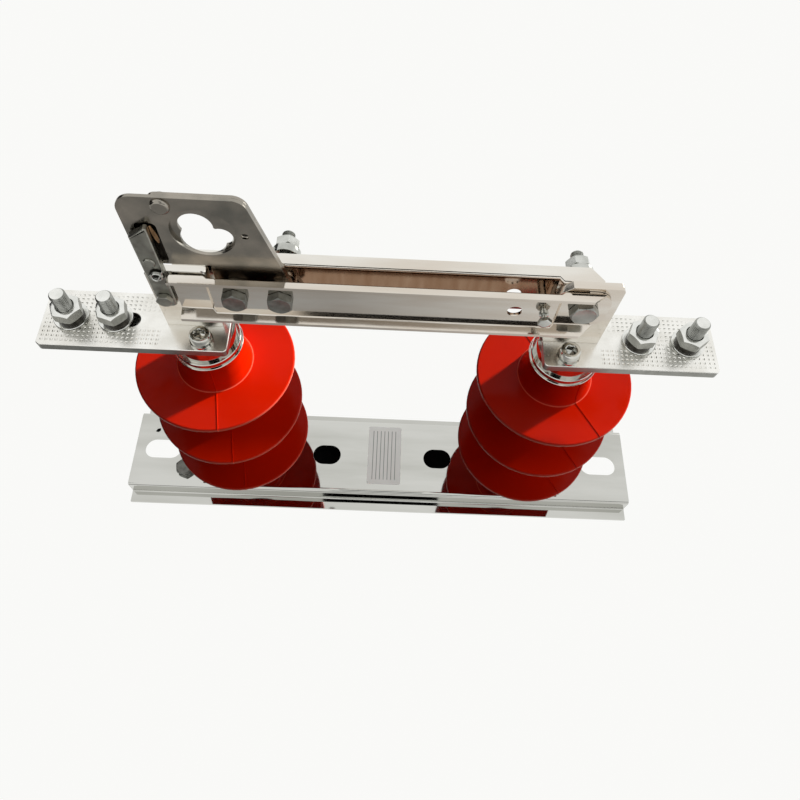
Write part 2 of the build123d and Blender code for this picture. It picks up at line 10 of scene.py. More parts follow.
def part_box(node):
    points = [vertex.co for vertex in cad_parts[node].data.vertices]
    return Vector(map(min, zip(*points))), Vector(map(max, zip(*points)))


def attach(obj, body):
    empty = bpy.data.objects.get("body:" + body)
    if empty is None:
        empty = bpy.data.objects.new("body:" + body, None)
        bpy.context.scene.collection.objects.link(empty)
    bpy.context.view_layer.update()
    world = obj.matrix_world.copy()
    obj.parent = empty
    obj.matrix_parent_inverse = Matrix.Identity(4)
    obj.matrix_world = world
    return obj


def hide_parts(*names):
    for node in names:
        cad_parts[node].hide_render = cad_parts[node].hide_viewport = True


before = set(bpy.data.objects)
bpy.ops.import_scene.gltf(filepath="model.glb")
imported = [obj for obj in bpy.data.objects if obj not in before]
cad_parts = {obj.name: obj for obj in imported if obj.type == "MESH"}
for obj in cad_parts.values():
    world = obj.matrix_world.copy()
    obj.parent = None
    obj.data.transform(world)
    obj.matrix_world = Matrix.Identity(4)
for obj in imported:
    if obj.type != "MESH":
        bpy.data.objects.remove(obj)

bl_info = {
    "name": "Knife disconnect switch",
    "version": (1, 0, 0),
    "blender": (4, 5, 0),
    "location": "View3D > Sidebar > Disconnector",
    "description": "Dresses a packed knife disconnect switch with finishes, threads, dimples and a studio",
    "category": "Add Mesh",
}

MM = 0.001
TURN = 2 * math.pi
# Points nearer to each other than this are welded, in metres.
WELD = 0.002 * MM


def linear(text):
    """The linear colour of an sRGB hex value."""
    shares = [int(text[place:place + 2], 16) / 255 for place in (1, 3, 5)]
    return tuple(c / 12.92 if c <= 0.04045 else ((c + 0.055) / 1.055) ** 2.4 for c in shares)


def colour(text, name, description):
    """A colour that a user may change."""
    return FloatVectorProperty(name=name, description=description, subtype="COLOR", size=3, min=0, max=1,
                               default=linear(text))


def length(size, name, description):
    """A length that a user may change, written in millimetres and kept in metres."""
    return FloatProperty(name=name, description=description, unit="LENGTH", default=size * MM, precision=5)


def angle(degrees, name, description):
    """An angle that a user may change."""
    return FloatProperty(name=name, description=description, subtype="ANGLE", unit="ROTATION",
                         default=math.radians(degrees))


def number(value, name, description):
    """A plain number that a user may change."""
    return FloatProperty(name=name, description=description, default=value)


class DisconnectorColours(bpy.types.PropertyGroup):
    """The colours of the finishes and of the studio."""
    rubber: colour("#DC2000", "Rubber", "Silicone rubber of the insulators")
    rubber_deep: colour("#CE1900", "Rubber, deep", "Slightly darker clouds in the rubber")
    # Painted highlight: this colour paints pale lines on the shed rims and round the shed roots.
    rubber_highlight: colour("#F25A42", "Rubber, flash line", "Flash lines at the rims and roots of the sheds")
    stainless: colour("#CFCFCB", "Polished stainless", "Mirror polished rail")
    stainless_dark: colour("#C0C0BB", "Polished stainless, hazed", "Streaks of polishing haze on the rail")
    satin: colour("#84827B", "Satin stainless", "Pull ring plates")
    satin_warm: colour("#B3ABA0", "Satin stainless, warm", "Blotches on the pull ring plates")
    tin: colour("#EAE8E2", "Tin plate", "Blade and uprights")
    tin_dark: colour("#D2C7BA", "Tin plate, dull", "Handled and dulled places of the tin plate")
    terminal: colour("#F7F6F2", "Terminal plate", "Freshly plated terminal bars")
    terminal_dark: colour("#E6E4DE", "Terminal plate, dull", "Dulled places of the terminal bars")
    # Painted shade, in part: this grey darkens the side faces of the terminal bars.
    terminal_edge_and_shade: colour("#9C9D98", "Terminal edge", "Sheared edges of the terminal bars")
    copper: colour("#A58A74", "Bare copper", "Thinly plated copper inside the blade")
    copper_pale: colour("#CDBDAE", "Bare copper, pale", "Streaks of tin left on the copper")
    bronze: colour("#C9A27A", "Spring bronze", "Latch strip in the window of the pull ring")
    bronze_dark: colour("#8A6A4C", "Spring bronze, dull", "Tarnish on the latch strip")
    zinc: colour("#D4D5D1", "Zinc plate", "Nuts, springs, spacers and pins on the blade")
    zinc_dark: colour("#B4B5B0", "Zinc plate, dull", "Duller places of those, and of turned steel")
    # Painted light, partly: the ground colours light the tops and chamfers of the terminal fasteners, the
    # rolled ones shade their sides and threads.
    zinc_ground_and_top_light: colour("#F2F2EF", "Zinc plate, ground", "End faces and chamfers of the terminal fasteners")
    zinc_ground_dull_and_top_light: colour("#DEDFDB", "Zinc plate, ground, dull", "Duller places of those end faces")
    zinc_rolled_and_side_shade: colour("#ACADA8", "Zinc plate, rolled", "Flats and threads there, and the hinge bolt")
    zinc_rolled_dull_and_side_shade: colour("#8D8E89", "Zinc plate, rolled, dull", "Dull places there and on sheared edges")
    zinc_grey: colour("#93958F", "Zinc plate, weathered", "Bolts through the blade, and the earth bolt")
    zinc_grey_dark: colour("#7A7B75", "Zinc plate, weathered, dull", "Darker places of those bolts")
    turned: colour("#DAD8D1", "Turned steel", "Caps and feet of the insulators, and the screws on the caps")
    dull: colour("#A3A39A", "Dull stainless", "Lock bar and its fasteners")
    # Partly painted shade: this dark stands for the shade in the window, in the ring's hole, behind the coil
    # and under the nuts.
    dark: colour("#2E2C28", "Blackened steel", "Spring washers, and the keeper and plug of the pull ring")
    dark_worn: colour("#45423C", "Blackened steel, worn", "Rubbed places of those")
    label: colour("#F4F4F1", "Label", "Rating label on the rail")
    label_line: colour("#8C8E8C", "Label lines", "Ruled lines of the rating label")
    floor: colour("#FBFBF9", "Floor", "Floor and background")


class DisconnectorSizes(bpy.types.PropertyGroup):
    """The sizes of the details that the scene adds, and of the studio's light."""
    edge: length(0.35, "Edge rounding", "Rounding of the edges of plates and fasteners")
    sheet_edge: length(0.8, "Lip rounding", "Rounding of the edges of the blade's channels")
    dimple_pitch: length(3.1, "Dimple pitch", "Distance between the dimples of the terminals")
    dimple_width: length(1.7, "Dimple width", "Width of a dimple at the surface")
    dimple_depth: length(0.35, "Dimple depth", "Depth of a dimple")
    stud_pitch: length(1.5, "Stud pitch", "Thread pitch of the terminal bolts")
    bolt_pitch: length(1.25, "Bolt pitch", "Thread pitch of the blade and hinge bolts")
    seam_width: length(0.9, "Seam width", "Width of the mould seam at its foot")
    seam_height: length(0.35, "Seam height", "Height of the mould seam")
    label_thickness: length(0.3, "Label thickness", "Thickness of the rating label")
    left_seam: angle(-80, "Left seam", "Place of the mould seam round the left insulator, from +X")
    right_seam: angle(-60, "Right seam", "Place of the mould seam round the right insulator, from +X")
    lens: number(30.12, "Lens", "Focal length on a 36 mm square sensor")
    lamp: number(6.8, "Lamp", "Strength of the key lamp")
    lamp_height: angle(17.5, "Lamp height", "How high the key lamp stands over the horizon")
    lamp_turn: angle(37, "Lamp turn", "Where the key lamp stands, from +X towards the back")
    fill_left: number(0.0, "Fill, left", "Room light from the left on dull surfaces")
    fill_right: number(0.85, "Fill, right", "Room light from the right on dull surfaces")
    sheen: number(3.0, "Sheen", "Brightness of the key lamp as gloss sees it")
    card_left: number(0.36, "Card, left", "Brightness of the grey card's left end")
    card_right: number(0.8, "Card, right", "Brightness of the grey card's right end")


def sizes():
    return bpy.context.scene.disconnector_sizes


def hue(key):
    """One of the colours by its key, as a shader takes it."""
    return (*getattr(bpy.context.scene.disconnector_colours, key), 1)


def add(tree, kind, values, **settings):
    """Add a node; values are its inputs' numbers, or the sockets that feed them."""
    node = tree.nodes.new("ShaderNode" + kind)
    for key, value in settings.items():
        setattr(node, key, value)
    for key, value in values.items():
        if isinstance(value, bpy.types.NodeSocket):
            tree.links.new(value, node.inputs[key])
        else:
            node.inputs[key].default_value = value
    return node


def new_tree(name):
    """An empty material and its nodes."""
    made = bpy.data.materials.new(name)
    made.use_nodes = True
    made.node_tree.nodes.clear()
    return made, made.node_tree


MIX_FACTOR, MIX_A, MIX_B, MIX_RESULT = 0, 6, 7, 2

# Radii and heights of the moulded bodies, and how far each pole stands from the middle, in millimetres.
POLE = 119.0
TRUNK_RADIUS, TRUNK_FOOT, TRUNK_BOTTOM = 22.5, 25.6, 30.0
SHED_RADIUS, SHED_RIM, SHED_ROOT = 55.0, 1.5, 6.0
SHED_HEIGHTS = (67.7, 124.0, 180.3)
COLLAR_FOOT, COLLAR_TOP = 205.6, 211.2


def noise_scale(grain):
    """Noise scale for grains of that many millimetres, in object space, which is in metres."""
    return 1 / (grain * MM)


def silicone_rubber_moulded():
    """Silicone rubber, hot moulded: saturated red with a wet-looking gloss and a faint orange peel.

    Painted highlights: paler lines are painted round the rims of the sheds and round their roots, where the
    lamp's gloss would show."""
    made, tree = new_tree("silicone_rubber_moulded")
    place = add(tree, "TexCoord", {}).outputs["Object"]
    cloud = add(tree, "TexNoise", {"Vector": place, "Scale": noise_scale(30), "Detail": 3.0}).outputs["Fac"]
    peel = add(tree, "TexNoise", {"Vector": place, "Scale": noise_scale(1.6), "Detail": 2.0}).outputs["Fac"]
    tone = add(tree, "Mix", {MIX_FACTOR: cloud, MIX_A: hue("rubber_deep"), MIX_B: hue("rubber")},
               data_type="RGBA").outputs[MIX_RESULT]
    split = add(tree, "SeparateXYZ", {0: place}).outputs
    side = add(tree, "Math", {0: split["X"]}, operation="ABSOLUTE").outputs[0]
    along = add(tree, "Math", {0: side, 1: POLE * MM}, operation="SUBTRACT").outputs[0]
    level = add(tree, "CombineXYZ", {"X": along, "Y": split["Y"]}).outputs[0]
    reach = add(tree, "VectorMath", {0: level}, operation="LENGTH").outputs["Value"]
    # Painted highlight: masks for a pale line at the shed rims and another round the roots.
    rim = add(tree, "MapRange", {"Value": reach, "From Min": (SHED_RADIUS - 0.6) * MM,
                                 "From Max": (SHED_RADIUS - 0.2) * MM}).outputs[0]
    root_highlight = add(tree, "Math", {0: reach, 1: (TRUNK_FOOT + 0.5) * MM, 2: 0.35 * MM},
               operation="COMPARE").outputs[0]
    highlight = add(tree, "Math", {0: rim, 1: root_highlight}, operation="MAXIMUM").outputs[0]
    tone = add(tree, "Mix", {MIX_FACTOR: highlight, MIX_A: tone, MIX_B: hue("rubber_highlight")},
               data_type="RGBA").outputs[MIX_RESULT]
    gloss = add(tree, "MapRange", {"Value": cloud, "To Min": 0.16, "To Max": 0.26}).outputs[0]
    bump = add(tree, "Bump", {"Height": peel, "Strength": 0.08, "Distance": 0.1 * MM}).outputs[0]
    shader = add(tree, "BsdfPrincipled", {"Base Color": tone, "Roughness": gloss, "IOR": 1.41,
                                          "Specular IOR Level": 0.15, "Normal": bump})
    add(tree, "OutputMaterial", {"Surface": shader.outputs[0]})
    return made


def metal(name, light, dark, grain, rough, waves, wave_size, stretch=(1, 1, 1), inner=None, share=1.0):
    """A metal finish: tone and roughness drift over grains of that size, the sheet waves a little.

    A pair of inner colours shows, streaked, on faces that look at the middle plane of the blade. Under a
    share of one the plate's fine crystals scatter the rest of the light."""
    made, tree = new_tree(name)
    place = add(tree, "TexCoord", {}).outputs["Object"]
    run = add(tree, "Mapping", {"Vector": place, "Scale": stretch}).outputs[0]
    cloud = add(tree, "TexNoise", {"Vector": run, "Scale": noise_scale(grain), "Detail": 4.0})
    fine = add(tree, "TexNoise", {"Vector": run, "Scale": noise_scale(grain / 12), "Detail": 2.0})
    slow = add(tree, "TexNoise", {"Vector": place, "Scale": noise_scale(wave_size), "Detail": 1.0})
    drift = add(tree, "MapRange", {"Value": cloud.outputs["Fac"], "From Min": 0.35, "From Max": 0.65})
    base = add(tree, "Mix", {MIX_FACTOR: drift.outputs[0], MIX_A: hue(dark), MIX_B: hue(light)},
               data_type="RGBA").outputs[MIX_RESULT]
    if inner:
        copper, pale = (hue(key) for key in inner)
        side = add(tree, "SeparateXYZ", {0: place}).outputs["Y"]
        normal = add(tree, "NewGeometry", {}).outputs["Normal"]
        look = add(tree, "SeparateXYZ", {0: normal}).outputs["Y"]
        facing = add(tree, "Math", {0: side, 1: look}, operation="MULTIPLY").outputs[0]
        inward = add(tree, "MapRange", {"Value": facing, "From Min": -4.9 * MM, "From Max": -4.3 * MM,
                                        "To Min": 1.0, "To Max": 0.0})
        fall = add(tree, "Mapping", {"Vector": place, "Scale": (1, 1, 0.12)}).outputs[0]
        streak = add(tree, "TexNoise", {"Vector": fall, "Scale": noise_scale(4), "Detail": 3.0})
        bare = add(tree, "Mix", {MIX_FACTOR: streak.outputs["Fac"], MIX_A: copper, MIX_B: pale},
                   data_type="RGBA").outputs[MIX_RESULT]
        base = add(tree, "Mix", {MIX_FACTOR: inward.outputs[0], MIX_A: base, MIX_B: bare},
                   data_type="RGBA").outputs[MIX_RESULT]
    gloss = add(tree, "MapRange", {"Value": fine.outputs["Fac"], "To Min": rough[0], "To Max": rough[1]})
    bump = add(tree, "Bump", {"Height": slow.outputs["Fac"], "Strength": 1.0, "Distance": waves * MM})
    shader = add(tree, "BsdfPrincipled", {"Base Color": base, "Metallic": share,
                                          "Roughness": gloss.outputs[0], "Normal": bump.outputs[0]})
    add(tree, "OutputMaterial", {"Surface": shader.outputs[0]})
    return made


# Pitch of the label's lines, the label's corners, and the middle and half width of its field, in millimetres.
LINE_PITCH = 3.4
LABEL_BOX = (-13, -26.5, 17, 30)
LABEL_MIDDLE = (2.0, 1.75)
LABEL_FIELD = {"X": (LABEL_MIDDLE[0], 11.5), "Y": (LABEL_MIDDLE[1], 24.0)}
# A wave texture repeats every 0.1 pi over its scale.
LINE_SCALE = 0.1 * math.pi / (LINE_PITCH * MM)


def polyester_label_metallised():
    """Polyester film, metallised and printed: silvery white, with thin ruled lines."""
    made, tree = new_tree("polyester_label_metallised")
    place = add(tree, "TexCoord", {}).outputs["Object"]
    cloud = add(tree, "TexNoise", {"Vector": place, "Scale": noise_scale(12), "Detail": 2.0})
    shade = add(tree, "MapRange", {"Value": cloud.outputs["Fac"], "To Min": 0.92, "To Max": 1.0})
    tone = add(tree, "Mix", {MIX_FACTOR: 1.0, MIX_A: hue("label"), MIX_B: shade.outputs[0]},
               data_type="RGBA", blend_type="MULTIPLY").outputs[MIX_RESULT]
    split = add(tree, "SeparateXYZ", {0: place}).outputs
    rule = add(tree, "TexWave", {"Vector": place, "Scale": LINE_SCALE}, bands_direction="X")
    line = add(tree, "MapRange", {"Value": rule.outputs["Fac"], "From Min": 0.9, "From Max": 0.96}).outputs[0]
    for axis, (spot, half) in LABEL_FIELD.items():
        field = add(tree, "Math", {0: split[axis], 1: spot * MM, 2: half * MM}, operation="COMPARE")
        line = add(tree, "Math", {0: line, 1: field.outputs[0]}, operation="MULTIPLY").outputs[0]
    inked = add(tree, "Mix", {MIX_FACTOR: line, MIX_A: tone, MIX_B: hue("label_line")},
                data_type="RGBA").outputs[MIX_RESULT]
    shader = add(tree, "BsdfPrincipled", {"Base Color": inked, "Roughness": 0.42, "Metallic": 0.5})
    add(tree, "OutputMaterial", {"Surface": shader.outputs[0]})
    return made


def finishes():
    """Every finish by name, made once. A metal has grain, roughness, height and length of its waves."""
    rolled = (0.2, 1, 1)
    return {
        "rubber": silicone_rubber_moulded(),
        # A mirror polished sheet shows its surroundings, a little bent by the sheet's long waves.
        "stainless": metal("stainless_steel_mirror_polished", "stainless", "stainless_dark", 20, (0.02, 0.06),
                           0.2, 60, (0.15, 1, 1)),
        # Satin sheet that has been handled: soft grey blotches, blurred reflections.
        "satin": metal("stainless_steel_satin_sheet", "satin", "satin_warm", 24, (0.14, 0.26), 0.3, 24),
        # Bright tin plate over rolled copper: clear reflections drawn out along the rolling direction.
        "tin": metal("copper_bright_tin_plated", "tin", "tin_dark", 25, (0.06, 0.14), 0.12, 45, rolled),
        # The same plate lies thin inside the channels, and the copper under it shows there.
        "blade": metal("copper_thin_tin_plated", "tin", "tin_dark", 25, (0.06, 0.14), 0.12, 45, rolled,
                       ("copper", "copper_pale")),
        # The terminals were plated last and hardly handled: whiter, with a soft sheen.
        "terminal": metal("copper_fresh_tin_plated", "terminal", "terminal_dark", 18, (0.2, 0.3), 0.06, 20),
        # Their sheared edges are greyer, with a soft sheen: partly less tin, partly painted shade for the
        # dark floor that these sides face.
        "edge": metal("copper_sheared_tin_and_side_shade", "terminal_edge_and_shade", "zinc_rolled_dull_and_side_shade", 6, (0.24, 0.34),
                      0.01, 5),
        # Rolled spring bronze: warm, with tarnish along the strip.
        "bronze": metal("spring_bronze_rolled", "bronze", "bronze_dark", 3, (0.12, 0.2), 0.02, 3,
                        (1, 1, 0.3)),
        # Zinc plate straight from the barrel: pale grey, finely mottled, fairly bright.
        "zinc": metal("steel_zinc_plated", "zinc", "zinc_dark", 8, (0.13, 0.2), 0.002, 5),
        # Ground end faces keep a brighter plate, rolled flats and threads a darker one; this is partly
        # painted light, tops lit and sides shaded as by a lamp from above.
        "ends": metal("steel_zinc_ground_and_top_light", "zinc_ground_and_top_light", "zinc_ground_dull_and_top_light", 8, (0.16, 0.24), 0.002, 5),
        "flats": metal("steel_zinc_rolled_and_side_shade", "zinc_rolled_and_side_shade", "zinc_rolled_dull_and_side_shade", 8, (0.3, 0.38), 0.002, 5),
        # Zinc plate that has gone grey out of doors: darker and without a clear mirror image.
        "grey_zinc": metal("steel_zinc_weathered", "zinc_grey", "zinc_grey_dark", 4, (0.4, 0.52), 0.01, 3,
                           share=0.6),
        # Turned steel keeps fine rings and a bright edge.
        "turned": metal("steel_turned_bright", "turned", "zinc_dark", 10, (0.06, 0.12), 0.02, 8, (1, 1, 6)),
        # Stamped stainless, tumbled dull: darker and softer than the sheets beside it.
        "dull": metal("stainless_steel_tumbled", "dull", "satin", 6, (0.26, 0.4), 0.03, 4),
        # Heat-blackened steel: dark and half dull. It also paints shade on the spring washers, the keeper,
        # the plug and the coil's washer.
        "dark": metal("steel_blackened_and_shade", "dark_worn", "dark", 6, (0.3, 0.45), 0.02, 4),
        "label": polyester_label_metallised(),
    }


FINISH = {}


class Shape:
    """Points and faces of one piece while it is made, in millimetres."""

    def __init__(self):
        self.points = []
        self.faces = []

    def skin(self, rows, ends=True, place=None):
        """Faces between neighbouring closed rows of points, and a face over each end row."""
        start = len(self.points)
        width = len(rows[0])
        for row in rows:
            for point in row:
                self.points.append(place @ Vector(point) if place else Vector(point))
        for level in range(len(rows) - 1):
            low = start + level * width
            for step in range(width):
                after = (step + 1) % width
                self.faces.append((low + step, low + after, low + width + after, low + width + step))
        if ends:
            last = start + (len(rows) - 1) * width
            self.faces.append(tuple(reversed(range(start, start + width))))
            self.faces.append(tuple(range(last, last + width)))

    def piece(self, name, finish, body, nodes=(), sharp=35, sides=None, rise=0.45):
        """The finished object, riding on its body and standing for its nodes.

        Faces whose normal rises less than rise may have a finish of their own, named by sides; the terminal
        parts use it to paint shade on their sides."""
        mesh = bpy.data.meshes.new(name)
        mesh.from_pydata([point * MM for point in self.points], [], self.faces)
        work = bmesh.new()
        work.from_mesh(mesh)
        bmesh.ops.remove_doubles(work, verts=work.verts, dist=WELD)
        bmesh.ops.recalc_face_normals(work, faces=work.faces)
        work.to_mesh(mesh)
        work.free()
        mesh.shade_smooth()
        mesh.set_sharp_from_angle(angle=math.radians(sharp))
        mesh.materials.append(FINISH[finish])
        if sides:
            mesh.materials.append(FINISH[sides])
            for face in mesh.polygons:
                face.material_index = int(abs(face.normal.z) < rise)
        made = bpy.data.objects.new(name, mesh)
        bpy.context.scene.collection.objects.link(made)
        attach(made, body)
        if nodes:
            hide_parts(*nodes)


# Points round a turned row. Nuts and heads are chamfered at 30 degrees from a circle just inside their flats.
ROUND = 72
CHAMFER_SHARE = 0.475
CHAMFER_SLOPE = math.tan(math.radians(30))


def circle(radius, height, start=0.0):
    """A row of points round the axis, from a start angle."""
    ways = [start + TURN * step / ROUND for step in range(ROUND)]
    return [(radius * math.cos(way), radius * math.sin(way), height) for way in ways]


def turned(shape, profile, place, bore=True):
    """A turned body from (radius, height) pairs; with a bore the profile closes on itself."""
    rows = [circle(radius, height) for radius, height in profile]
    shape.skin(rows + rows[:1] if bore else rows, ends=not bore, place=place)


def hexagon(across, flat, height, chamfer=0.0):
    """A row round a hexagon with a flat at that angle; a chamfer drops the row towards the corners."""
    row = []
    for step in range(ROUND):
        way = flat + TURN * step / ROUND
        side = (way - flat + TURN / 12) % (TURN / 6) - TURN / 12
        radius = across / 2 / math.cos(side)
        drop = (radius - across * CHAMFER_SHARE) * CHAMFER_SLOPE * chamfer
        row.append((radius * math.cos(way), radius * math.sin(way), height - drop))
    return row


def nut(shape, across, flat, low, high, bore, place):
    """A hexagon nut, chamfered on both faces, with a countersunk bore."""
    lead = 0.6
    rim = across * CHAMFER_SHARE
    rows = [circle(bore, low + lead, flat), circle(bore + lead, low, flat), circle(rim, low, flat),
            hexagon(across, flat, low, -1), hexagon(across, flat, high, 1), circle(rim, high, flat),
            circle(bore + lead, high, flat), circle(bore, high - lead, flat), circle(bore, low + lead, flat)]
    shape.skin(rows, ends=False, place=place)


def head(shape, across, flat, base, top, place, dish=0.0):
    """A hexagon bolt head on a thin washer face, chamfered at its outer end."""
    sign = 1 if top > base else -1
    face = 0.4 * sign
    rim = across * CHAMFER_SHARE
    rows = [circle(rim, base, flat), circle(rim, base + face, flat), hexagon(across, flat, base + face),
            hexagon(across, flat, top, sign), circle(rim, top, flat),
            circle(rim * 0.8, top - dish * sign, flat)]
    shape.skin(rows if sign > 0 else rows[::-1], place=place)


def thread(shape, radius, pitch, low, high, place):
    """A threaded rod with a ground tip; the groove is as deep as the pitch allows."""
    steps = 8
    tip = pitch * 0.6
    depth = pitch * 0.42
    count = max(2, int(round((high - low) / pitch * steps)))
    rows = []
    for level in range(count + 1):
        height = low + (high - low) * level / count
        limit = radius - max(0, height - (high - tip))
        row = []
        for step in range(ROUND):
            way = TURN * step / ROUND
            phase = (height / pitch - step / ROUND) % 1
            groove = min(1, max(0, 1.25 - abs(phase - 0.5) * 4)) * depth
            size = max(min(radius - groove, limit), radius * 0.5)
            row.append((size * math.cos(way), size * math.sin(way), height))
        rows.append(row)
    shape.skin(rows, place=place)


def split_washer(shape, bore, outer, low, high, cut, place):
    """A spring washer: a ring cut through, its ends a little apart."""
    gap = math.radians(7)
    twist = (high - low) * 0.12
    rows = []
    for step in range(ROUND + 1):
        share = step / ROUND
        way = cut + gap / 2 + (TURN - gap) * share
        rise = twist * (share - 0.5)
        bottom = low + max(0, rise)
        top = high + min(0, rise)
        rows.append([(radius * math.cos(way), radius * math.sin(way), height)
                     for radius, height in ((bore, bottom), (outer, bottom), (outer, top), (bore, top))])
    shape.skin(rows, place=place)


def upright_place(x, y):
    """Local axes standing at a point, with the axis up."""
    return Matrix.Translation((x, y, 0))


def cross_place(x, z):
    """Local axes whose axis runs to the back, through a point of the blade."""
    turn = Matrix(((1, 0, 0, 0), (0, 0, 1, 0), (0, -1, 0, 0), (0, 0, 0, 1)))
    return Matrix.Translation((x, 0, z)) @ turn


def box(node):
    """A node's corners in millimetres."""
    low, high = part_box(node)
    return low / MM, high / MM


def middle(node):
    low, high = box(node)
    return (low + high) / 2


def rounded(corners, closed=True, steps=6):
    """A 2-D line whose (x, y, radius) corners are turned into arcs."""
    line = []
    count = len(corners)
    for place, (x, y, radius) in enumerate(corners):
        here = Vector((x, y))
        if radius == 0 or (not closed and place in (0, count - 1)):
            line.append(here)
            continue
        back = (Vector(corners[place - 1][:2]) - here).normalized()
        ahead = (Vector(corners[(place + 1) % count][:2]) - here).normalized()
        half = math.acos(max(-1, min(1, back.dot(ahead)))) / 2
        centre = here + (back + ahead).normalized() * (radius / math.sin(half))
        first = here + back * (radius / math.tan(half)) - centre
        last = here + ahead * (radius / math.tan(half)) - centre
        sweep = math.atan2(first.x * last.y - first.y * last.x, first.dot(last))
        for step in range(steps + 1):
            turn = Matrix.Rotation(sweep * step / steps, 2)
            line.append(centre + turn @ first)
    return line


def rounded_box(left, low, right, high, radius):
    """A closed 2-D box with equal round corners."""
    return rounded([(left, low, radius), (right, low, radius), (right, high, radius), (left, high, radius)])


def offset(loop, distance):
    """A closed 2-D line moved to its left by a distance."""
    count = len(loop)
    row = []
    for step, point in enumerate(loop):
        run = (loop[(step + 1) % count] - loop[step - 1]).normalized()
        row.append(Vector((point.x - run.y * distance, point.y + run.x * distance)))
    return row


def at_height(loop, height):
    """A 2-D line at a height."""
    return [(point.x, point.y, height) for point in loop]


def inside(point, loop):
    """Whether a 2-D point lies within a closed loop."""
    within = False
    for step in range(len(loop)):
        a, b = loop[step - 1], loop[step]
        if (a.y > point.y) != (b.y > point.y):
            if point.x < (b.x - a.x) * (point.y - a.y) / (b.y - a.y) + a.x:
                within = not within
    return within


def square(x, y, half):
    """The corners of a square round a point."""
    return [(x - half, y - half), (x + half, y - half), (x + half, y + half), (x - half, y + half)]


def wire(shape, path, radius, across):
    """A round wire along a path; across is a direction that the path never follows."""
    count = 10
    ways = [TURN * turn / count for turn in range(count)]
    rows = []
    for step, point in enumerate(path):
        run = (path[min(step + 1, len(path) - 1)] - path[max(step - 1, 0)]).normalized()
        side = run.cross(across).normalized()
        lift = side.cross(run)
        rows.append([point + side * (radius * math.cos(way)) + lift * (radius * math.sin(way))
                     for way in ways])
    shape.skin(rows)


def body_profile():
    """The moulded body's outline from foot to collar, as (radius, height); it flares over each shed."""
    edge = SHED_RIM * 0.9
    corners = [(TRUNK_RADIUS, TRUNK_BOTTOM, 0)]
    for height in SHED_HEIGHTS:
        top = height + SHED_RIM
        corners += [(TRUNK_RADIUS, height - SHED_ROOT, 4.0), (SHED_RADIUS, height - SHED_RIM, edge),
                    (SHED_RADIUS, top, edge), (TRUNK_FOOT, top, 1.8), (TRUNK_RADIUS + 1.2, top + 7.0, 12.0),
                    (TRUNK_RADIUS, top + 17.0, 20.0)]
    corners.append((TRUNK_RADIUS, COLLAR_FOOT + 0.5, 0))
    return rounded(corners, closed=False)


class AddFinishes(bpy.types.Operator):
    """Give every solid its finish and round the edges of all but the insulators"""
    bl_idname = "disconnector.finishes"
    bl_label = "Finishes"

    def execute(self, context):
        FINISH.update(finishes())
        for name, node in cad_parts.items():
            node.data.materials.clear()
            node.data.materials.append(FINISH[self.finish_of(name)])
            if name.startswith("insulator"):
                continue
            weld = node.modifiers.new("weld", "WELD")
            weld.merge_threshold = WELD
            flat = node.modifiers.new("flats", "DECIMATE")
            flat.decimate_type = "DISSOLVE"
            flat.angle_limit = math.radians(0.5)
            bevel = node.modifiers.new("edges", "BEVEL")
            bevel.width = sizes().sheet_edge if name in ("blade_front", "blade_rear") else sizes().edge
            bevel.segments = 3
            bevel.limit_method = "ANGLE"
            bevel.angle_limit = math.radians(40)
            bevel.use_clamp_overlap = True
        return {"FINISHED"}

    def finish_of(self, name):
        if name.startswith("insulator"):
            return "rubber"
        if name == "base_channel":
            return "stainless"
        if name.startswith("ring_"):
            return "satin"
        if name.startswith("lock_"):
            return "dull"
        if name.startswith(("cap_left", "cap_right", "foot_")):
            return "turned"
        if name in ("blade_front", "blade_rear"):
            return "blade"
        if name in ("terminal_left", "terminal_right") or name.endswith("_upright"):
            return "tin"
        return "zinc"


class AddInsulators(bpy.types.Operator):
    """Moulded insulators with a seam up each side, and the flanged cap of each"""
    bl_idname = "disconnector.insulators"
    bl_label = "Insulators"

    def execute(self, context):
        line = body_profile()
        for side, way in (("left", sizes().left_seam), ("right", sizes().right_seam)):
            node = "insulator_" + side
            x = middle(node).x
            place = upright_place(x, 0)
            shape = Shape()
            turned(shape, [tuple(point) for point in line], place, bore=False)
            shape.piece("moulded_" + node, "rubber", "pole_frame", [node], 60)
            shape = Shape()
            for turn in (way, way + math.pi):
                self.ridge(shape, line, x, turn)
            shape.piece("mould_seam_" + side, "rubber", "pole_frame", sharp=60)
            self.cap(side, place)
        return {"FINISHED"}

    def cap(self, side, place):
        """A turned cap: a thin flange at its foot, a collar and a neck up to the terminal."""
        foot = COLLAR_FOOT
        shape = Shape()
        turned(shape, [(22.0, foot + 0.3), (23.0, foot), (23.3, foot + 0.3), (23.3, foot + 0.7),
                       (23.0, foot + 1.0), (22.4, foot + 1.0), (22.4, COLLAR_TOP - 0.4), (22.0, COLLAR_TOP),
                       (20.4, COLLAR_TOP), (20.4, box("terminal_" + side)[0].z)], place, bore=False)
        shape.piece("flanged_cap_" + side, "turned", "pole_frame", ["cap_" + side], 25)

    def ridge(self, shape, line, x, turn):
        """A ridge along the outline at one angle round the axis, its feet sunk in the rubber."""
        width = sizes().seam_width / MM
        height = sizes().seam_height / MM
        place = Matrix.Translation((x, 0, 0)) @ Matrix.Rotation(turn, 4, "Z")
        rows = []
        for step, point in enumerate(line):
            before = line[max(step - 1, 0)]
            after = line[min(step + 1, len(line) - 1)]
            run = (after - before).normalized()
            out = Vector((run.y, -run.x))
            sunk = point - out * 0.3
            crest = point + out * height
            rows.append([(sunk.x, -width / 2, sunk.y), (crest.x, -width / 6, crest.y),
                         (crest.x, width / 6, crest.y), (sunk.x, width / 2, sunk.y)])
        shape.skin(rows, place=place)


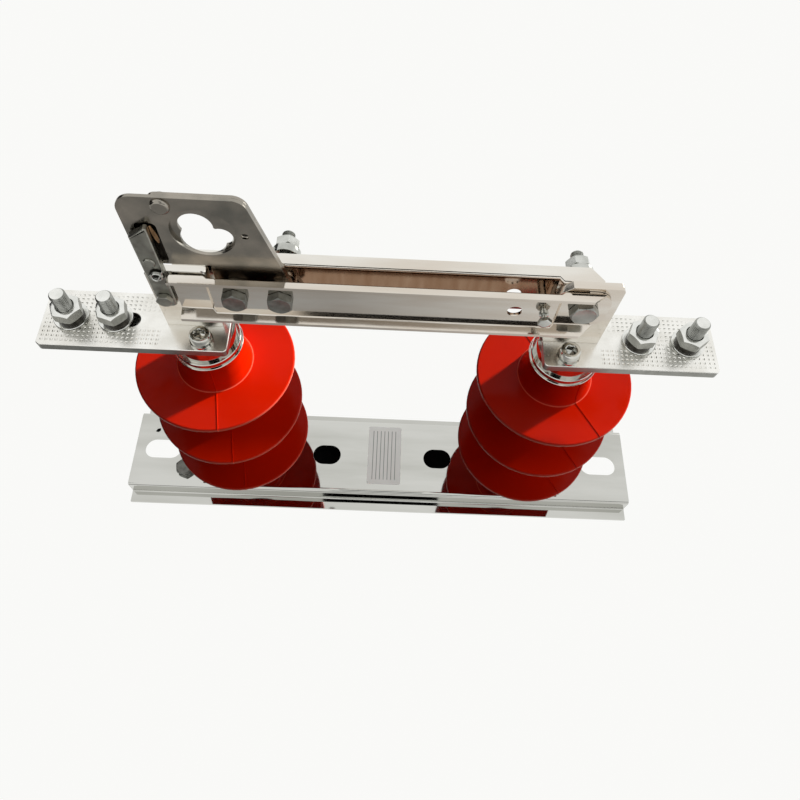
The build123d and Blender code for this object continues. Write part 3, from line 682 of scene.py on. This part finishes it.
class AddTerminals(bpy.types.Operator):
    """Terminal bars with a pressed grid of square dimples"""
    bl_idname = "disconnector.terminals"
    bl_label = "Terminals"

    # Radii of the holes for bolts and screws, and how far the screws stand from the middle, in millimetres.
    BOLT_HOLE, SCREW_HOLE, SCREW_REACH = 5.2, 4.2, 13.3
    # How far dimples stay from the middle of a hole, and half the width of the smooth strip.
    CLEAR, STRIP = 7.2, 5.0

    def execute(self, context):
        self.bar("left", near=-143.0, far=-217.0, bolt=-200.5, screw=-116.3, slot=(-167.5, 5.0))
        self.bar("right", near=137.0, far=211.0, bolt=194.5, screw=115.5, slot=(162.5, 0.0))
        return {"FINISHED"}

    def bar(self, side, near, far, bolt, screw, slot):
        """One bar: rounded plate, holes, a slot by its middle and half length, dimples from near to far."""
        node = "terminal_" + side
        low, high = box(node)
        edge = sizes().edge / MM
        wide = self.BOLT_HOLE
        reach = slot[1] + wide
        loops = [rounded_box(low.x, low.y, high.x, high.y, 3.0), self.round_hole(bolt, 0, wide)]
        loops += [self.round_hole(screw, y, self.SCREW_HOLE) for y in (-self.SCREW_REACH, self.SCREW_REACH)]
        loops.append(rounded_box(slot[0] - reach, -wide, slot[0] + reach, wide, wide))
        eased = [offset(loop, -edge if number else edge) for number, loop in enumerate(loops)]
        shape = Shape()
        self.face(shape, eased, self.dimples(near, far, low, high, bolt, slot), high.z, True)
        self.face(shape, eased, [], low.z, False)
        for loop, ease in zip(loops, eased):
            rows = [at_height(ease, low.z), at_height(loop, low.z + edge), at_height(loop, high.z - edge),
                    at_height(ease, high.z)]
            shape.skin(rows, ends=False)
        # The sides take the greyer edge finish, which is partly painted shade.
        shape.piece("dimpled_" + node, "terminal", "pole_frame", [node], sides="edge")

    def round_hole(self, x, y, radius):
        steps = ROUND // 2
        ways = [TURN * step / steps for step in range(steps)]
        return [Vector((x + radius * math.cos(way), y + radius * math.sin(way))) for way in ways]

    def dimples(self, near, far, low, high, bolt, slot):
        """Middles of the dimples that stand clear of the holes and of the smooth strip."""
        pitch = sizes().dimple_pitch / MM
        sign = 1 if far > near else -1
        columns = int(abs(far - near) / pitch)
        rows = int((high.y - low.y - 2) / pitch)
        made = []
        for column in range(columns + 1):
            x = far - sign * (pitch / 2 + column * pitch)
            if (x - near) * sign < 0:
                continue
            for row in range(rows):
                y = (row - (rows - 1) / 2) * pitch
                from_bolt = math.hypot(x - bolt, y)
                from_slot = math.hypot(max(0, abs(x - slot[0]) - slot[1]), y)
                strip = abs(y) < self.STRIP and (slot[0] - x) * sign > 0
                if from_bolt > self.CLEAR and from_slot > self.CLEAR and not strip:
                    made.append((x, y))
        return made

    def face(self, shape, loops, dimples, height, upward):
        """A flat face with holes; each dimple is a small pressed pyramid with a flat bottom."""
        half = sizes().dimple_width / MM / 2
        rings = loops + [[Vector(corner) for corner in square(x, y, half)] for x, y in dimples]
        points = []
        edges = []
        for ring in rings:
            start = len(points)
            points.extend(ring)
            edges.extend((start + step, start + (step + 1) % len(ring)) for step in range(len(ring)))
        made = delaunay_2d_cdt(points, edges, [], 0, 1e-6)
        spots, triangles = made[0], made[2]
        base = len(shape.points)
        shape.points.extend(Vector((p.x, p.y, height)) for p in spots)
        for triangle in triangles:
            centre = sum((spots[corner] for corner in triangle), Vector((0, 0))) / 3
            if not inside(centre, loops[0]) or any(inside(centre, hole) for hole in loops[1:]):
                continue
            if any(abs(centre.x - x) < half and abs(centre.y - y) < half for x, y in dimples):
                continue
            corners = tuple(base + corner for corner in triangle)
            shape.faces.append(corners if upward else corners[::-1])
        depth = sizes().dimple_depth / MM
        for x, y in dimples:
            start = len(shape.points)
            for reach, level in ((half, height), (half * 0.45, height - depth)):
                shape.points.extend(Vector((*corner, level)) for corner in square(x, y, reach))
            for step in range(4):
                after = (step + 1) % 4
                shape.faces.append((start + step, start + 4 + step, start + 4 + after, start + after))
            shape.faces.append(tuple(start + 4 + step for step in range(4)))


class AddStuds(bpy.types.Operator):
    """Terminal bolts with threaded ends, nuts, flat washers and spring washers"""
    bl_idname = "disconnector.studs"
    bl_label = "Terminal bolts"

    # Where a flat of each nut looks, in degrees from +X.
    FLATS = {"left_outer": 22, "left_inner": 14, "right_inner": 38, "right_outer": 8}
    # Across the flats, and thickness of the bar with a hair's gap and of the washer under it, in millimetres.
    ACROSS, BAR, UNDER_WASHER = 17.0, 6.05, 1.55
    # How far the tops of the flat washer and of the spring washer stand over the bar.
    FLAT_WASHER, SPRING_WASHER = 1.9, 4.9
    # Radii of the rod, of the washers' bores, of the flat washer and of the spring washer.
    ROD, BORE, FLAT_RADIUS, SPRING_RADIUS = 5.0, 5.25, 10.8, 8.4
    # Radius of the washer under the bar, and of the one that covers the left slot.
    UNDER_RADIUS, SLOT_RADIUS = 10.5, 15.0

    def execute(self, context):
        for name, degrees in self.FLATS.items():
            self.stud(name, math.radians(degrees))
        return {"FINISHED"}

    def stud(self, name, flat):
        bolt = "terminal_bolt_" + name
        stack = "terminal_nut_" + name
        low, high = box(bolt)
        under, over = box(stack)
        place = upright_place(middle(bolt).x, 0)
        bar = under.z
        seat = bar - self.BAR - self.UNDER_WASHER
        neck = over.z - 1.5
        shape = Shape()
        head(shape, self.ACROSS, TURN / 12, seat, low.z, place)
        wide = self.SLOT_RADIUS if name == "left_inner" else self.UNDER_RADIUS
        turned(shape, [(4.6, seat), (wide, seat), (wide, bar - self.BAR), (4.6, bar - self.BAR)], place)
        turned(shape, [(4.5, seat - 0.1), (4.5, neck)], place, bore=False)
        thread(shape, self.ROD, sizes().stud_pitch / MM, neck, high.z, place)
        # Painted light: the tip and end faces are lighter, the threads and sides darker.
        shape.piece("threaded_" + bolt, "ends", "pole_frame", [bolt], sides="flats",
                    rise=0.95)
        shape = Shape()
        ease = 0.25
        bore, rim = self.BORE, self.FLAT_RADIUS
        washer = bar + self.FLAT_WASHER
        spring = bar + self.SPRING_WASHER
        turned(shape, [(bore, bar), (rim - ease, bar), (rim, bar + ease), (rim, washer - ease),
                       (rim - ease, washer), (bore, washer)], place)
        nut(shape, self.ACROSS, flat, spring, over.z, 5.2, place)
        # Painted light: the tops of the nut and washer are lighter, the flats darker.
        shape.piece("chamfered_" + stack, "ends", "pole_frame", [stack], sides="flats")
        shape = Shape()
        # Partly painted shade: the blackened spring washer darkens the gap under the nut.
        split_washer(shape, bore, self.SPRING_RADIUS, washer, spring, TURN / 4, place)
        shape.piece("spring_washer_" + name, "dark", "pole_frame")


class AddCapScrews(bpy.types.Operator):
    """Socket screws that hold the terminals, each on a spring washer"""
    bl_idname = "disconnector.cap_screws"
    bl_label = "Cap screws"

    def execute(self, context):
        for side in ("left", "right"):
            for row in ("front", "rear"):
                self.screw("cap_screw_%s_%s" % (side, row))
        return {"FINISHED"}

    def screw(self, node):
        low, high = box(node)
        spot = middle(node)
        place = upright_place(spot.x, spot.y)
        bar = box("terminal_left")[1].z
        washer = bar + 1.8
        shape = Shape()
        split_washer(shape, 4.3, 7.3, bar, washer, -0.6, place)
        shank, wide, edge = 4.0, 6.5, 0.7
        socket, start = 6.4, 0.3
        deep = high.z - 5.0
        outline = [(shank, low.z), (shank, washer), (wide - 0.3, washer), (wide, washer + 0.3),
                   (wide, high.z - edge), (wide - edge * 0.4, high.z - edge * 0.25), (wide - edge, high.z),
                   (socket * 0.63, high.z), (socket * 0.59, high.z - 0.5)]
        rows = [circle(radius, level, start) for radius, level in outline]
        rows += [hexagon(socket, start, high.z - 0.7), hexagon(socket, start, deep),
                 circle(0.4, deep - 1.2, start)]
        shape.skin(rows, place=place)
        shape.piece("socket_" + node, "turned", "pole_frame", [node])


class AddBladeBolts(bpy.types.Operator):
    """Bolts through the blade and the hinge, their disc springs, cups and nuts"""
    bl_idname = "disconnector.blade_bolts"
    bl_label = "Blade bolts"

    # Across the flats and height of a nut, in millimetres.
    ACROSS, NUT = 13.6, 6.56
    # How many disc springs a bolt has, and how far each is dished.
    DISCS, DISC_RISE = 4, 0.7

    def execute(self, context):
        for number in ("1", "2"):
            self.through("blade_bolt_" + number, "blade_nut_" + number, "blade_spring_" + number, flat=0.0,
                         web=-7.5, finish="grey_zinc", wide=self.ACROSS, back=2.5)
        self.through("hinge_bolt", "hinge_nut", "hinge_spring", flat=math.radians(22), web=-5.0,
                     finish="flats", wide=15.0, back=0.0)
        return {"FINISHED"}

    def through(self, bolt, stack, springs, flat, web, finish, wide, back):
        """One bolt with its springs, cup and nut; back moves what stands behind the blade further back.

        The head is that wide across its flats, a flat looks that way, and it bears on the web."""
        low, high = box(bolt)
        cup, nut_end = box(stack)
        first, last = box(springs)
        for corner in (high, cup, nut_end, last):
            corner.y += back
        cup.y += back * 1.2
        spot = middle(stack)
        place = cross_place(spot.x, spot.z)
        neck = nut_end.y - 1.2
        shape = Shape()
        head(shape, wide, flat, web, low.y, place, 0.35)
        turned(shape, [(3.9, web - 0.05), (3.9, neck)], place, bore=False)
        thread(shape, 4.0, sizes().bolt_pitch / MM, neck, high.y, place)
        shape.piece("threaded_" + bolt, finish, "blade", [bolt])
        shape = Shape()
        nut_start = nut_end.y - self.NUT
        mouth = cup.y + 3.0
        turned(shape, [(4.3, mouth), (7.9, mouth), (7.9, cup.y + 0.3), (8.1, cup.y), (8.5, cup.y),
                       (8.7, cup.y + 0.3), (8.7, nut_start - 1.2), (7.4, nut_start), (4.3, nut_start)], place)
        nut(shape, self.ACROSS, flat + 0.2, nut_start, nut_end.y, 4.2, place)
        shape.piece("chamfered_" + stack, "zinc", "blade", [stack])
        shape = Shape()
        reach = 7.5 - back * 0.4
        step = (last.y + 3.0 - first.y) / self.DISCS
        thick = step - self.DISC_RISE - 0.05
        for number in range(self.DISCS):
            base = first.y + number * step
            inner = base + (0 if number % 2 else self.DISC_RISE)
            outer = base + (self.DISC_RISE if number % 2 else 0)
            turned(shape, [(4.4, inner), (reach - 0.3, outer), (reach, outer + 0.3),
                           (reach, outer + thick - 0.3), (reach - 0.3, outer + thick), (4.4, inner + thick)],
                   place)
        shape.piece("discs_" + springs, "zinc", "blade", [springs])


class AddSmallBolts(bpy.types.Operator):
    """Earth bolt on the rail, the lock bar's bolt and the stop pin"""
    bl_idname = "disconnector.small_bolts"
    bl_label = "Small bolts"

    def execute(self, context):
        self.earth()
        self.lock()
        self.stop()
        return {"FINISHED"}

    def earth(self):
        """The earth bolt on its flat washer."""
        low, high = box("earth_bolt")
        spot = middle("earth_bolt")
        rail = box("base_channel")[1].z
        washer = rail + 1.5
        place = upright_place(spot.x, spot.y)
        shape = Shape()
        turned(shape, [(4.0, rail), (7.2, rail), (7.4, rail + 0.2), (7.4, washer - 0.2), (7.2, washer),
                       (4.0, washer)], place)
        turned(shape, [(4.0, low.z), (4.0, washer + 0.1)], place, bore=False)
        head(shape, 13.6, 0.2, washer, high.z, place, 0.3)
        shape.piece("washered_earth_bolt", "grey_zinc", "pole_frame", ["earth_bolt"])

    def lock(self):
        """The bolt at the foot of the lock bar."""
        low, high = box("lock_bolt")
        spot = middle("lock_bolt")
        bar = box("lock_bar")[0].y
        place = cross_place(spot.x, spot.z)
        shape = Shape()
        turned(shape, [(2.4, bar - 0.05), (2.4, high.y)], place, bore=False)
        head(shape, 8.5, TURN / 12, bar, low.y, place)
        shape.piece("chamfered_lock_bolt", "dull", "blade", ["lock_bolt"])

    def stop(self):
        """The stop pin: a thin neck and a small head in front, a rod across the blade, a nut behind."""
        low, high = box("stop_pin")
        spot = middle("stop_pin")
        place = cross_place(spot.x, spot.z)
        shape = Shape()
        turned(shape, [(2.5, -7.5), (2.5, high.y - 1.0)], place, bore=False)
        turned(shape, [(1.7, low.y), (1.7, -8.6), (2.9, -8.4), (2.9, -7.4)], place, bore=False)
        head(shape, 7.4, 0.2, low.y + 1.6, low.y - 1.2, place)
        nut(shape, 8.0, 0.5, high.y - 4.0, high.y, 2.55, place)
        shape.piece("necked_stop_pin", "zinc", "blade", ["stop_pin"])


class AddLock(bpy.types.Operator):
    """Lock bar with its coil spring, and the keeper, latch strip and plug of the pull ring; the keeper, the
    plug and the coil's washer are dark to paint shade
    """
    bl_idname = "disconnector.lock"
    bl_label = "Lock"

    # Middle of the coil spring, and ends of the keeper behind the window, in millimetres.
    COIL = (-129.2, 285.0)
    KEEPER_LOW, KEEPER_HIGH = 288.5, 323.5

    def execute(self, context):
        low, high = box("lock_bar")
        self.bar(low, high)
        self.spring(low.y)
        self.keeper(low.x + 1.2, box("ring_plate_rear")[0].x - 0.3)
        self.strip(high)
        self.plug(middle("blade_bolt_1"))
        return {"FINISHED"}

    def bar(self, low, high):
        """A bar with a slanted top end, a rounded lower end and bevelled front edges."""
        end = 3.4
        loop = rounded([(low.x, low.z, end), (high.x, low.z, end), (high.x, high.z, 0.5),
                        (high.x - 1.8, high.z, 0.5), (low.x, high.z - 6.4, 0.8)])
        rows = []
        for inward, depth in ((0.3, high.y), (0.0, high.y - 0.3), (0.0, low.y + 0.9), (0.5, low.y + 0.25),
                              (1.1, low.y)):
            rows.append([(p.x, depth, p.y) for p in offset(loop, inward)])
        shape = Shape()
        shape.skin(rows)
        shape.piece("bevelled_lock_bar", "dull", "blade", ["lock_bar"], 20)

    def spring(self, face):
        """A coil of three turns in front of the bar, over a dark washer that paints the shade behind the
        coil, with two short legs.
        """
        x, z = self.COIL
        coil = 2.9
        steps = 24
        path = [Vector((x - 5.2, face - 0.6, z - 1.0))]
        for step in range(3 * steps + 7):
            way = math.pi + TURN * step / steps
            depth = face - 0.8 - 1.6 * step / (3 * steps)
            path.append(Vector((x + coil * math.cos(way), depth, z + coil * math.sin(way))))
        path.append(Vector((x + 4.6, face - 1.6, z + 5.2)))
        shape = Shape()
        wire(shape, path, 0.55, Vector((0, 1, 0)))
        shape.piece("lock_spring", "zinc", "blade", sharp=50)
        shape = Shape()
        turned(shape, [(1.2, face), (3.9, face), (4.2, face - 0.2), (4.2, face - 0.4), (1.2, face - 0.4)],
               cross_place(x, z))
        shape.piece("lock_spring_shade_washer", "dark", "blade")

    def keeper(self, left, right):
        """The dark plate behind the window: painted shade that closes the view through it."""
        low, high = self.KEEPER_LOW, self.KEEPER_HIGH
        loop = rounded([(left, low, 2.0), (right, low, 0.5), (right, high, 0.5), (left, high, 2.0)])
        centre = Vector(((left + right) / 2, (low + high) / 2))
        rows = []
        for share, depth in ((0.98, 0.1), (1.0, 0.3), (1.0, 1.5), (0.98, 1.7)):
            moved = [(p - centre) * share + centre for p in loop]
            rows.append([(p.x, depth, p.y) for p in moved])
        shape = Shape()
        shape.skin(rows)
        shape.piece("window_shade_plate", "dark", "blade")

    def strip(self, bar):
        """A leaf of spring bronze beside the bar, widest in the middle."""
        rows = []
        steps = 16
        for step in range(steps + 1):
            share = step / steps
            bow = math.sin(math.pi * share)
            x = bar.x + 0.5 + 1.5 * share + 0.5 * bow
            z = bar.z - 2.0 - 13.0 * share
            half = 0.3 + 0.9 * bow
            front = -2.4 - 0.5 * bow
            rows.append([(x - half, front, z), (x + half, front + 0.3, z), (x + half, front + 0.8, z),
                         (x - half, front + 0.5, z)])
        shape = Shape()
        shape.skin(rows)
        shape.piece("latch_strip", "bronze", "blade", sharp=50)

    def plug(self, bolt):
        """A dark pin that closes the small hole of the pull ring, just behind its front face: painted shade
        in the hole.
        """
        front = box("ring_plate_front")[0].y + 0.6
        back = box("ring_plate_rear")[1].y - 0.6
        shape = Shape()
        turned(shape, [(1.7, front), (2.0, front + 0.3), (2.0, back - 0.3), (1.7, back)],
               cross_place(bolt.x + 12.6, bolt.z + 47.8), bore=False)
        shape.piece("ring_hole_shade_plug", "dark", "blade")


class AddLabel(bpy.types.Operator):
    """A rating label with ruled lines on the rail, between its middle slots"""
    bl_idname = "disconnector.label"
    bl_label = "Label"

    def execute(self, context):
        rail = box("base_channel")[1].z
        thick = sizes().label_thickness / MM
        x, y = LABEL_MIDDLE
        loop = rounded_box(*LABEL_BOX, 1.5)
        rows = []
        for share, level in ((1.0, 0.0), (1.0, 0.6), (0.995, 1.0)):
            rows.append([(x + (p.x - x) * share, y + (p.y - y) * share, rail + thick * level) for p in loop])
        shape = Shape()
        shape.skin(rows)
        shape.piece("rating_label", "label", "pole_frame")
        return {"FINISHED"}


class AddStage(bpy.types.Operator):
    """Floor, room light, cards, key lamp and the camera at the photograph's angle"""
    bl_idname = "disconnector.stage"
    bl_label = "Stage"

    RAYS = ("camera", "diffuse", "glossy", "transmission", "shadow")
    # The fitted camera: its place in millimetres, and its yaw, pitch and roll in degrees.
    CAMERA = (-0.13, -237.79, 588.19)
    CAMERA_TURN = (2.89, -62.42, 4.96)

    def execute(self, context):
        scene = context.scene
        scene.view_settings.view_transform = "Standard"
        self.room(scene)
        floor = self.sheet(scene, "studio_floor", self.at(0, 0, -0.5), (8000, 8000), self.paper, self.RAYS,
                           "paper_sweep_matt")
        self.cards(scene)
        self.lamp(scene, floor)
        self.camera(scene)
        return {"FINISHED"}

    def seen(self, tree):
        """One where a camera, a mirror or a glass looks, nought for the light on dull surfaces."""
        path = add(tree, "LightPath", {}).outputs
        pair = add(tree, "Math", {0: path["Is Camera Ray"], 1: path["Is Glossy Ray"]}, operation="MAXIMUM")
        return add(tree, "Math", {0: pair.outputs[0], 1: path["Is Transmission Ray"]},
                   operation="MAXIMUM").outputs[0]

    def room(self, scene):
        """A white room where it is looked at, and a dimmer one, brighter on the right, as light."""
        world = bpy.data.worlds.new("studio_room")
        world.use_nodes = True
        tree = world.node_tree
        tree.nodes.clear()
        way = add(tree, "TexCoord", {}).outputs["Generated"]
        across = add(tree, "SeparateXYZ", {0: way}).outputs["X"]
        fill = add(tree, "MapRange", {"Value": across, "From Min": -0.25, "To Min": sizes().fill_left,
                                      "To Max": sizes().fill_right})
        level = add(tree, "MapRange", {"Value": self.seen(tree), "To Min": fill.outputs[0], "To Max": 1.0})
        light = add(tree, "Background", {"Color": hue("floor"), "Strength": level.outputs[0]})
        add(tree, "OutputWorld", {"Surface": light.outputs[0]})
        scene.world = world

    def sheet(self, scene, name, place, size, shader, seen_by, material=None):
        """A flat sheet of the stage; seen_by names the rays that meet it, of those in RAYS."""
        made, tree = new_tree(material or name)
        add(tree, "OutputMaterial", {"Surface": shader(tree)})
        x, y = (side / 2 * MM for side in size)
        mesh = bpy.data.meshes.new(name)
        mesh.from_pydata([(-x, -y, 0), (x, -y, 0), (x, y, 0), (-x, y, 0)], [], [(0, 1, 2, 3)])
        mesh.materials.append(made)
        made = bpy.data.objects.new(name, mesh)
        made.matrix_world = place
        for ray in self.RAYS:
            setattr(made, "visible_" + ray, ray in seen_by)
        scene.collection.objects.link(made)
        return made

    def at(self, x, y, z, tilt=0.0, axis="X"):
        """A sheet's place in millimetres, tipped about an axis."""
        return Matrix.Translation(Vector((x, y, z)) * MM) @ Matrix.Rotation(math.radians(tilt), 4, axis)

    def cards(self, scene):
        """Cards that only gloss sees, a flag and a net that hold the key off the sheds, and dark sheets of
        painted shadow.

        The flag shades the lower sheds and the net halves the key on the upper right one. The painted shadow
        lies under the rail's middle slots and its spare hole."""
        gloss = ("glossy",)
        shadow = ("shadow",)
        for name, place, size, shader, seen_by in (
                ("grey_card", self.at(0, -485, 0.5), (1400, 830), self.card_glow, gloss),
                ("dark_front", self.at(600, -1100, 660, 90), (1600, 300), self.ground, gloss),
                ("dark_camera_side", self.at(0, -330, 730, 30), (240, 200), self.ground, gloss),
                ("dark_left", self.at(-900, 0, 350, 90, "Y"), (700, 1600), self.ground, gloss),
                ("key_flag", self.at(335, 250, 140, 90), (480, 300), self.ground, shadow),
                ("key_scrim", self.at(520, 250, 309, 90), (160, 40), self.net, shadow),
                ("shadow_sheet_under_rail", self.at(0, 0, 0.3), (180, 60), self.ground, self.RAYS),
                ("shadow_sheet_under_hole", self.at(-213, 26, 0.3), (12, 10), self.ground, self.RAYS)):
            self.sheet(scene, name, place, size, shader, seen_by)

    def paper(self, tree):
        """Matt paper: where it is looked at it glows almost white and keeps a faint part of the shadow."""
        seen = self.seen(tree)
        keep = add(tree, "Math", {0: seen, 1: 0.98}, operation="MULTIPLY")
        tone = add(tree, "Mix", {MIX_FACTOR: seen, MIX_A: (0.1, 0.1, 0.1, 1), MIX_B: (0.95, 0.95, 0.95, 1)},
                   data_type="RGBA")
        paper = add(tree, "BsdfDiffuse", {"Color": tone.outputs[MIX_RESULT]})
        glow = add(tree, "Emission", {"Color": hue("floor"), "Strength": 1.0})
        both = add(tree, "MixShader", {0: keep.outputs[0], 1: paper.outputs[0], 2: glow.outputs[0]})
        return both.outputs[0]

    def card_glow(self, tree):
        """A grey card, brighter to the right."""
        place = add(tree, "TexCoord", {}).outputs["Object"]
        across = add(tree, "SeparateXYZ", {0: place}).outputs["X"]
        level = add(tree, "MapRange", {"Value": across, "From Min": -0.05, "From Max": 0.25,
                                       "To Min": sizes().card_left, "To Max": sizes().card_right})
        return add(tree, "Emission", {"Color": (1.0, 0.99, 0.96, 1), "Strength": level.outputs[0]}).outputs[0]

    def net(self, tree):
        """A net that lets half of the key through."""
        hole = add(tree, "BsdfTransparent", {})
        return add(tree, "MixShader", {0: 0.5, 1: hole.outputs[0], 2: self.ground(tree)}).outputs[0]

    # A near black sheet: the flags and dark cards, and the painted shadow under the rail.
    def ground(self, tree):
        return add(tree, "BsdfDiffuse", {"Color": (0.01, 0.01, 0.01, 1)}).outputs[0]

    def sheen(self, tree):
        return add(tree, "Emission", {"Color": (1.0, 0.99, 0.97, 1), "Strength": sizes().sheen}).outputs[0]

    def lamp(self, scene, floor):
        """The key comes from the back right, low and small enough to throw edged shadows, past the floor.

        Gloss sees a sheet of mild brightness in its place."""
        sun = bpy.data.lights.new("key", "SUN")
        sun.energy = sizes().lamp
        sun.angle = math.radians(4)
        key = bpy.data.objects.new("key", sun)
        high = sizes().lamp_height
        turn = sizes().lamp_turn
        to_light = Vector((math.cos(turn) * math.cos(high), math.sin(turn) * math.cos(high), math.sin(high)))
        facing = to_light.to_track_quat("Z", "Y")
        key.rotation_euler = facing.to_euler()
        key.visible_glossy = False
        scene.collection.objects.link(key)
        glow = Matrix.Translation(to_light) @ facing.to_matrix().to_4x4()
        self.sheet(scene, "key_sheen", glow, (220, 400), self.sheen, ("glossy",))
        past = bpy.data.collections.new("past_the_key")
        past.objects.link(floor)
        key.light_linking.receiver_collection = past
        past.collection_objects[0].light_linking.link_state = "EXCLUDE"

    def camera(self, scene):
        data = bpy.data.cameras.new("camera")
        data.sensor_width = 36.0
        data.lens = sizes().lens
        data.clip_start = 0.01
        camera = bpy.data.objects.new("camera", data)
        yaw, pitch, roll = (math.radians(degrees) for degrees in self.CAMERA_TURN)
        ahead = Vector((math.sin(yaw) * math.cos(pitch), math.cos(yaw) * math.cos(pitch), math.sin(pitch)))
        level = Vector((math.cos(yaw), -math.sin(yaw), 0))
        lifted = level.cross(ahead)
        right = level * math.cos(roll) + lifted * math.sin(roll)
        up = lifted * math.cos(roll) - level * math.sin(roll)
        place = Matrix((right, up, -ahead)).transposed().to_4x4()
        place.translation = Vector(self.CAMERA) * MM
        camera.matrix_world = place
        scene.collection.objects.link(camera)
        scene.camera = camera


OPERATORS = (AddFinishes, AddInsulators, AddTerminals, AddStuds, AddCapScrews, AddBladeBolts, AddSmallBolts,
             AddLock, AddLabel, AddStage)


class DisconnectorPanel(bpy.types.Panel):
    """The pieces of the switch, in the order in which they are made"""
    bl_idname = "VIEW3D_PT_disconnector"
    bl_label = "Disconnector"
    bl_space_type = "VIEW_3D"
    bl_region_type = "UI"
    bl_category = "Disconnector"

    def draw(self, context):
        for operator in OPERATORS:
            self.layout.operator(operator.bl_idname)
        for group in (context.scene.disconnector_sizes, context.scene.disconnector_colours):
            for name in group.bl_rna.properties.keys():
                if name not in ("rna_type", "name"):
                    self.layout.prop(group, name)


CLASSES = (DisconnectorColours, DisconnectorSizes) + OPERATORS + (DisconnectorPanel,)


def register():
    for made in CLASSES:
        bpy.utils.register_class(made)
    bpy.types.Scene.disconnector_colours = PointerProperty(type=DisconnectorColours)
    bpy.types.Scene.disconnector_sizes = PointerProperty(type=DisconnectorSizes)


def unregister():
    del bpy.types.Scene.disconnector_sizes
    del bpy.types.Scene.disconnector_colours
    for made in reversed(CLASSES):
        bpy.utils.unregister_class(made)


def main():
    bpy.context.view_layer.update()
    register()
    for operator in OPERATORS:
        group, name = operator.bl_idname.split(".")
        getattr(getattr(bpy.ops, group), name)()


if __name__ == "__main__":
    main()
